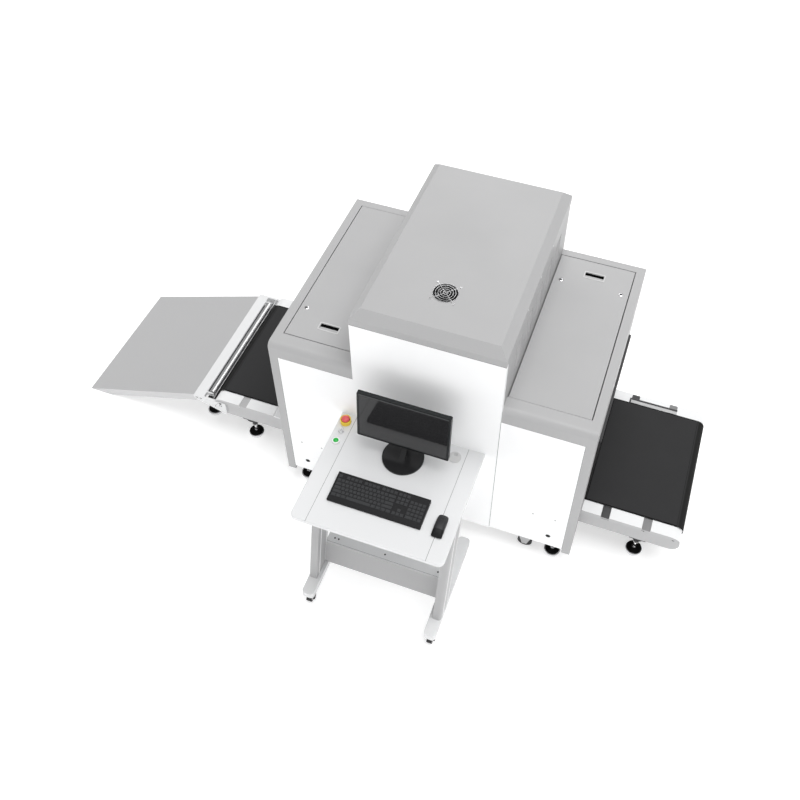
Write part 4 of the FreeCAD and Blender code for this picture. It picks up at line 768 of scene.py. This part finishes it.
# %% Axle screws, a painted shadow line along the rail's face and the slots of the arms
AXLE_SCREW = [(0, 0.0008), (0.0036, 0.0008), (0.0046, 0.0014), (0.0062, 0.0008), (0.0066, 0)]
RAIL_FACE, ARM_FACE = 160, 148
BOTH_RAILS = 1120
details = bmesh.new()
for screw_x, face_y in ((1241, RAIL_FACE), (-1241, ARM_FACE)):
    for screw_y, axis in ((face_y, TO_FRONT), (BOTH_RAILS - face_y, TO_BACK)):
        spun(details, AXLE_SCREW, at(screw_x, screw_y, 268), steps=20, axis=axis)
# A thin black line along the top of the rail's face: a painted shadow line.
slab(details, (780, RAIL_FACE - 0.5, 271.5), (1092, RAIL_FACE + 0.2, 272.9))
slab(details, (1092, RAIL_FACE - 0.7, 268), (1098, RAIL_FACE + 0.2, 273))
for slot_x in (-1385, -1362):
    lofted(details, [(7, 2, 1.9, 0), (7, 2, 1.9, 0.4)], at(slot_x, ARM_FACE, 266), FACING_FRONT)
for slot_x in (-1246, -1236):
    lofted(details, [(1.5, 6, 1.4, 0), (1.5, 6, 1.4, 0.4)], at(slot_x, ARM_FACE, 250), FACING_FRONT)

BEND_X, BEND_Z, BEND_INSIDE, BEND_OUTSIDE, BEND_STEPS = -1227, 224, 49, 50.4, 12
for step in range(BEND_STEPS):
    angles = [math.radians(90 + 90 * number / BEND_STEPS) for number in (step, step + 1)]
    near, far = ((math.cos(angle), math.sin(angle)) for angle in angles)
    details.faces.new([
        details.verts.new(at(BEND_X + c * radius, ARM_FACE - 0.3, BEND_Z + s * radius))
        for (c, s), radius in ((near, BEND_INSIDE), (near, BEND_OUTSIDE), (far, BEND_OUTSIDE),
                               (far, BEND_INSIDE))])
finish_piece("conveyor_marks", details, deep_black, "machine")

# %% The bright rod at the belt's left end
ROD_RADIUS, ROD_START, ROD_END = 0.0022, 0.0003, 0.7997
rod_outline = [(0, ROD_START), (ROD_RADIUS, ROD_START), (ROD_RADIUS, ROD_END), (0, ROD_END)]
rod_work = bmesh.new()
spun(rod_work, rod_outline, at(-1284.5, RAIL_FACE, 287), steps=16, axis=TO_BACK)
finish_piece("belt_end_rod", rod_work, bright_steel, "machine")

# %% [markdown]
# ## Levelling feet
# Each foot is a plated bowl that holds a black rubber dome. A dark sleeve comes down over the stem
# and ends on a pale washer, and a round plate spreads the load under the rail.

# %% Foot domes, plated bowls, sleeves and washers
BEAM_SOCKET, RAIL_SOCKET, BAR_SOCKET = 112, 152, 228
WASHER_TOP = 96
DOME = [(0.0085, 0.0345), (0.0125, 0.034), (0.022, 0.0315), (0.03, 0.0285), (0.0352, 0.0255),
        (0.0355, 0.024)]
BOWL = [(0.0352, 0.0245), (0.0365, 0.027), (0.0395, 0.0275), (0.042, 0.0255), (0.0428, 0.022),
        (0.0426, 0.013), (0.0405, 0.005), (0.0365, 0.0003)]
WASHER = [(0.0083, 0.0005), (0.0155, 0.0005), (0.016, -0.0005), (0.016, -0.003), (0.0083, -0.003)]
LOAD_PLATE = [(0.0145, 0.157), (0.04, 0.157), (0.043, 0.161), (0.043, 0.1762)]
FEET = [(x, y, BEAM_SOCKET) for x in (-685, 685) for y in (56, 1062)]
FEET += [(x, y, RAIL_SOCKET) for x in (-1080, 1080) for y in (205, 915)]
FEET += [(-1374.5, y, BAR_SOCKET) for y in (265, 855)]
domes = bmesh.new()
for foot_x, foot_y, socket_z in FEET:
    ground = at(foot_x, foot_y, 0)
    spun(domes, DOME, ground, steps=36)
    spun(domes, BOWL, ground, steps=44, slot_number=1)
    spun(domes, WASHER, at(foot_x, foot_y, WASHER_TOP), steps=28, slot_number=2)
    if socket_z > BEAM_SOCKET:
        sleeve = [(0.0083, WASHER_TOP / 1000), (0.0125, (WASHER_TOP + 1) / 1000), (0.0125, socket_z / 1000)]
        spun(domes, sleeve, ground, steps=28, slot_number=3)
    if socket_z == RAIL_SOCKET:
        spun(domes, LOAD_PLATE, ground, steps=40, slot_number=4)
finish_piece("foot_domes", domes, [deep_black, bright_steel, pale_plastic, dark_coat, soft_black], "machine")

# %% [markdown]
# ## Desk and controls
# The stretcher has a white top with a few holes. The stop button is a domed cap above its yellow
# cup, the start button a lens in a white ring, and the key switch a plated barrel.

# %% The stretcher's top
top_work = bmesh.new()
STRETCHER_TOP = 240.5
HOLE = [(0, 0.0002), (0.0032, 0.0002), (0.004, 0.0005), (0.0046, 0)]
slab(top_work, (-361.8, -413.8, 238.9), (240.6, -344.6, STRETCHER_TOP + 0.1), 0.6)
slab(top_work, (-361, -405, STRETCHER_TOP), (240, -404, STRETCHER_TOP + 0.3), 0, 1)
for hole_x in (-330, -310, -65, 208):
    spun(top_work, HOLE, at(hole_x, -380, STRETCHER_TOP), steps=16, slot_number=1)
finish_piece("stretcher_top", top_work, [top_white_shaded, deep_black], "machine")

# %% Seams of the desk's edge strips, and painted highlights along the flutes of the legs
desk_lines = bmesh.new()
for line_x in (-340.6, 219.4):
    slab(desk_lines, (line_x - 0.9, -607, 758.2), (line_x + 0.9, -1, 759.9))
finish_piece("desk_seams", desk_lines, tab_grey, "machine")

LEG_FOOT, LEG_HEAD = 109.5, 734.5
# White strips along the flutes of each leg: painted highlights on the flute edges.
flute_highlights = bmesh.new()
for face_x, inward in ((283.4, -1), (241.4, 1), (-404.6, 1), (-362.6, -1)):
    for share in (0.26, 0.86):
        foot_y = -553 + 116 * share
        head_y = -387 + 127 * share
        outside = face_x - 0.3 * inward
        inside = face_x + 1.6 * inward
        spots = [(foot_y + 1, LEG_FOOT), (foot_y + 7, LEG_FOOT),
                 (head_y + 7, LEG_HEAD), (head_y + 1, LEG_HEAD)]
        near_ring = [flute_highlights.verts.new(at(outside, y, z)) for y, z in spots]
        far_ring = [flute_highlights.verts.new(at(inside, y, z)) for y, z in spots]
        flute_highlights.faces.new(near_ring)
        for step in range(4):
            after = (step + 1) % 4
            flute_highlights.faces.new((near_ring[step], near_ring[after], far_ring[after], far_ring[step]))
bmesh.ops.recalc_face_normals(flute_highlights, faces=flute_highlights.faces)
finish_piece("leg_flute_highlights", flute_highlights, panel_white, "machine")

# %% Stop button, start lens and keyway
STOP_PLACE, KEY_PLACE, START_PLACE = (at(-380, y, 760) for y in (-52, -108, -170))
stop = bmesh.new()
spun(stop, [(0, 0.0362), (0.005, 0.036), (0.011, 0.0348), (0.0155, 0.0322), (0.0185, 0.0285), (0.0196, 0.025),
            (0.0196, 0.0226), (0.018, 0.0216), (0.0085, 0.021), (0.0085, 0.0095), (0, 0.0095)],
     STOP_PLACE, steps=48)
stop_piece = finish_piece("stop_dome", stop, stop_red, "stop_cap")
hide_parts("stop_button")

lens = bmesh.new()
spun(lens, [(0, 0.0146), (0.005, 0.0143), (0.0095, 0.0132), (0.0122, 0.0112), (0.0124, 0.0096),
            (0.0124, 0.0042), (0, 0.0042)], START_PLACE, steps=40)
lens_piece = finish_piece("start_lens", lens, start_green, "start_cap")
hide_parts("start_button")

keyhole = bmesh.new()
slab(keyhole, (-380.9, -112.6, 769.5), (-379.1, -103.4, 772.1))
finish_piece("keyway", keyhole, deep_black, "key_barrel")

collars = bmesh.new()
spun(collars, [(0.0086, 0.0092), (0.009, 0.0104), (0.0128, 0.0104), (0.0142, 0.0088), (0.0142, 0.004)],
     KEY_PLACE, steps=40, slot_number=0)
spun(collars, [(0.0129, 0.0092), (0.0134, 0.0106), (0.0164, 0.0104), (0.0177, 0.0088), (0.0177, 0.004)],
     START_PLACE, steps=40, slot_number=1)
# A black disc in the gap under the stop cap: painted shade.
spun(collars, [(0.009, 0.0143), (0.0218, 0.0143)], STOP_PLACE, steps=40, slot_number=2)
finish_piece("control_collars", collars, [bright_steel, panel_white, deep_black], "machine")

# %% Hubs of the small casters
HUB = [(0.0032, 0.0004), (0.006, 0.0009), (0.012, 0.0007), (0.015, 0)]
WHEEL_HALF, AXLE_HEIGHT = 13, 24
for row, wheel_y in (("front", -612), ("back", -144)):
    for side_name, wheel_x in (("left", -375.6), ("right", 254.4)):
        hubs = bmesh.new()
        for side in (-1, 1):
            hub_place = at(wheel_x + side * WHEEL_HALF, wheel_y, AXLE_HEIGHT)
            spun(hubs, HUB, hub_place, steps=28, axis=(side, 0, 0))
        finish_piece(f"small_hub_{row}_{side_name}", hubs, pale_plastic, f"small_wheel_{row}_{side_name}")

# %% [markdown]
# ## Monitor
# The screen leans back by 4.5 degrees. Its pane lies in a narrow frame, with a lighter strip
# along the top and a black one along the foot.

# %% The pane and its frame
LEAN = math.radians(4.5)
SCREEN = Matrix(((1, 0, 0), (0, math.sin(LEAN), -math.cos(LEAN)), (0, math.cos(LEAN), math.sin(LEAN))))
SCREEN_FOOT = at(-53, -157, 854)


def on_screen(across, up_the_pane):
    return SCREEN_FOOT + SCREEN @ Vector((across / 1000, up_the_pane / 1000, 0))


face = bmesh.new()
lofted(face, [(219.5, 140.5, 4.6, 0), (219.5, 140.5, 4.6, 1), (218.7, 139.7, 4, 1.6), (209.5, 129.5, 1, 1.6),
              (209, 129, 0.8, 0.7)], on_screen(0, 141), SCREEN, 0, False)
lofted(face, [(209, 129, 0.8, 0.7), (208.9, 128.9, 0.8, 0.8)], on_screen(0, 141), SCREEN, 1)
lofted(face, [(209, 3, 0.8, 1.6), (209, 3, 0.8, 2)], on_screen(0, 275.5), SCREEN, 2)
lofted(face, [(216, 2.2, 0.8, 1.6), (216, 2.2, 0.8, 2)], on_screen(0, 5), SCREEN, 3)
lofted(face, [(216, 0.7, 0.3, 1.6), (216, 0.7, 0.3, 1.8)], on_screen(0, 280.4), SCREEN, 3)
finish_piece("screen_face", face, [screen_black, pane_black, bezel_grey, deep_black], "screen")

# %% Slots in the monitor's back
BEHIND = Matrix(((-1, 0, 0), (0, math.sin(LEAN), math.cos(LEAN)), (0, math.cos(LEAN), -math.sin(LEAN))))
SLOT_COUNT, SLOT_PITCH, CASE_DEPTH = 26, 12, 0.034
slots = bmesh.new()
for number in range(SLOT_COUNT):
    slot_place = on_screen(-150 + SLOT_PITCH * number, 236) + BEHIND @ Vector((0, 0, CASE_DEPTH))
    lofted(slots, [(2.4, 10, 2.3, 0), (2.4, 10, 2.3, 0.3)], slot_place, BEHIND)
finish_piece("screen_slots", slots, deep_black, "screen")

# %% [markdown]
# ## Curtains
# Lead rubber curtains hang at both mouths as rows of overlapping strips. One stiff sheet would
# look wrong, so each curtain is redrawn as strips with a slight curl, on the same hinge body.


# %% Curtain strips
STRIP_COUNT, OVERLAP, STRIP_ROWS = 9, 0.15, 12
STRIP_THICK, STAGGER = 0.0016, 0.0011


def curtain(side_name, body, side):
    low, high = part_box(f"curtain_{side_name}")
    wide = (high.y - low.y) / (STRIP_COUNT - OVERLAP * (STRIP_COUNT - 1))
    strips = bmesh.new()
    middle = (low.x + high.x) / 2
    for number in range(STRIP_COUNT):
        start = low.y + number * wide * (1 - OVERLAP)
        depth = STAGGER * (1 if number % 2 else -1)
        rows = STRIP_ROWS
        grid = []
        for row in range(rows + 1):
            height = high.z - (high.z - low.z) * row / rows
            curl = 0.0006 * math.sin(number * 2.1 + row * 0.7) * row / rows
            line = []
            for step in range(5):
                across = start + wide * step / 4
                bow = 0.0005 * math.sin(math.pi * step / 4)
                line.append(strips.verts.new((middle + depth + curl + bow * side, across, height)))
            grid.append(line)
        for upper, lower in zip(grid, grid[1:]):
            for step in range(4):
                strips.faces.new((upper[step], upper[step + 1], lower[step + 1], lower[step]))
    piece = finish_piece(f"curtain_strips_{side_name}", strips, curtain_rubber, body)
    thick = piece.modifiers.new("thickness", "SOLIDIFY")
    thick.thickness = STRIP_THICK
    thick.offset = 0.0
    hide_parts(f"curtain_{side_name}")


curtain("left", "left_curtain", -1)
curtain("right", "right_curtain", 1)


# %% [markdown]
# ## Keyboard
# The keyboard is a thin wedge with about a hundred keys. Rows are laid out as on a real one, in
# units of one key, and every key is a small tapered block. A row's entry says how far down it
# lies, and then where each key starts and how wide it is.

# %% The rows of keys
KEY_ROWS = (
    (0.0, [(0, 1), (2, 1), (3, 1), (4, 1), (5, 1), (6.5, 1), (7.5, 1), (8.5, 1), (9.5, 1), (11, 1), (12, 1),
           (13, 1), (14, 1), (15.25, 1), (16.25, 1), (17.25, 1)]),
    (1.15, [(step, 1) for step in range(13)] + [(13, 2), (15.25, 1), (16.25, 1), (17.25, 1), (18.5, 1),
                                               (19.5, 1), (20.5, 1), (21.5, 1)]),
    (2.15, [(0, 1.5)] + [(1.5 + step, 1) for step in range(12)] + [(13.5, 1.5), (15.25, 1), (16.25, 1),
                                                                  (17.25, 1), (18.5, 1), (19.5, 1), (20.5, 1),
                                                                  (21.5, 1)]),
    (3.15, [(0, 1.75)] + [(1.75 + step, 1) for step in range(11)] + [(12.75, 2.25), (18.5, 1), (19.5, 1),
                                                                    (20.5, 1), (21.5, 1)]),
    (4.15, [(0, 2.25)] + [(2.25 + step, 1) for step in range(10)] + [(12.25, 2.75), (16.25, 1), (18.5, 1),
                                                                    (19.5, 1), (20.5, 1), (21.5, 1)]),
    (5.15, [(0, 1.25), (1.25, 1.25), (2.5, 1.25), (3.75, 6.25), (10, 1.25), (11.25, 1.25), (12.5, 1.25),
            (13.75, 1.25), (15.25, 1), (16.25, 1), (17.25, 1), (18.5, 2), (20.5, 1), (21.5, 1)]),
)
print("keys:", sum(len(row_keys) for row_place, row_keys in KEY_ROWS))

# %% Keys
BOARD_SIDE, BOARD_BACK, UNITS_ACROSS = 0.008, 0.012, 22.5
ROW_PITCH, KEY_DEPTH, KEY_GAP = 0.0185, 0.0165, 0.0009
BOARD_FRONT_HEIGHT, BOARD_BACK_HEIGHT, SUNK = 0.014, 0.024, 0.001
SHRINK_X, SHRINK_Y, KEY_HEIGHT, DISH_HEIGHT = 0.0014, 0.0012, 0.0036, 0.0031
board_low, board_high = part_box("keyboard")
key_unit = (board_high.x - board_low.x - 2 * BOARD_SIDE) / UNITS_ACROSS
keys = bmesh.new()
slant = (BOARD_BACK_HEIGHT - BOARD_FRONT_HEIGHT) / (board_high.y - board_low.y)
for row_place, row_keys in KEY_ROWS:
    back_edge = board_high.y - BOARD_BACK - row_place * ROW_PITCH
    front_edge = back_edge - KEY_DEPTH
    row_middle = (front_edge + back_edge) / 2
    base = 0.760 + BOARD_FRONT_HEIGHT + slant * (row_middle - board_low.y) - SUNK
    for key_place, key_wide in row_keys:
        left = board_low.x + BOARD_SIDE + key_place * key_unit + KEY_GAP
        right_edge = left + key_wide * key_unit - 2 * KEY_GAP
        foot = [Vector((left, front_edge, base)), Vector((right_edge, front_edge, base)),
                Vector((right_edge, back_edge, base)), Vector((left, back_edge, base))]
        middle = sum(foot, Vector()) / 4
        crown = []
        for corner in foot:
            step_x = math.copysign(SHRINK_X, middle.x - corner.x)
            step_y = math.copysign(SHRINK_Y, middle.y - corner.y)
            crown.append(corner + Vector((step_x, step_y, KEY_HEIGHT)))
        lower_ring = [keys.verts.new(corner) for corner in foot]
        upper_ring = [keys.verts.new(corner) for corner in crown]
        dish = keys.verts.new(middle + Vector((0, 0, DISH_HEIGHT)))
        for step in range(4):
            after = (step + 1) % 4
            keys.faces.new((lower_ring[step], lower_ring[after], upper_ring[after], upper_ring[step]))
            keys.faces.new((upper_ring[step], upper_ring[after], dish))
finish_piece("keyboard_keys", keys, key_black, "machine", 50)

# %% [markdown]
# ## Mouse
# A mouse is all curves, so it is a block that is smoothed by subdivision, with one end in a
# second black and a small wheel.


# %% Mouse
mouse_low, mouse_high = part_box("mouse")
mouse_work = bmesh.new()
# Each section: how far along the mouse, how high and how wide, as shares of its box.
SECTIONS = ((0.0, 0.35, 0.94), (0.05, 0.55, 1.0), (0.27, 0.92, 1.0), (0.62, 0.97, 1.0),
            (0.92, 0.55, 0.96), (1.0, 0.35, 0.74))
BUTTON_SHARE = 0.27
size = mouse_high - mouse_low
middle_x = (mouse_low.x + mouse_high.x) / 2
loops = []
for share, height, wide in SECTIONS:
    y = mouse_low.y + size.y * share
    half = size.x / 2 * wide
    top = mouse_low.z + size.z * height
    loops.append([mouse_work.verts.new(spot) for spot in (
        (middle_x - half, y, mouse_low.z), (middle_x - half, y, mouse_low.z + size.z * height * 0.55),
        (middle_x - half * 0.72, y, top), (middle_x, y, top + 0.0006), (middle_x + half * 0.72, y, top),
        (middle_x + half, y, mouse_low.z + size.z * height * 0.55), (middle_x + half, y, mouse_low.z))])
for near, far in zip(loops, loops[1:]):
    for step in range(6):
        mouse_work.faces.new((near[step], near[step + 1], far[step + 1], far[step]))
    mouse_work.faces.new((near[6], near[0], far[0], far[6]))
mouse_work.faces.new(loops[0])
mouse_work.faces.new(list(reversed(loops[-1])))
bmesh.ops.recalc_face_normals(mouse_work, faces=mouse_work.faces)
for part_of_mouse in mouse_work.faces:
    if part_of_mouse.calc_center_median().y < mouse_low.y + size.y * BUTTON_SHARE:
        part_of_mouse.material_index = 1
mouse_body = finish_piece("mouse_body", mouse_work, [mouse_black, soft_black], "machine", 80)
mouse_smooth = mouse_body.modifiers.new("smooth", "SUBSURF")
mouse_smooth.levels = mouse_smooth.render_levels = 3
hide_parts("mouse")
WHEEL = [(0, -0.003), (0.008, -0.003), (0.0095, -0.0015), (0.0095, 0.0015), (0.008, 0.003), (0, 0.003)]
wheel_place = Vector((middle_x, mouse_high.y - size.y * 0.2, mouse_low.z + size.z * 0.62))
wheel_work = bmesh.new()
spun(wheel_work, WHEEL, wheel_place, steps=24, axis=(1, 0, 0))
finish_piece("mouse_wheel", wheel_work, key_black, "machine")
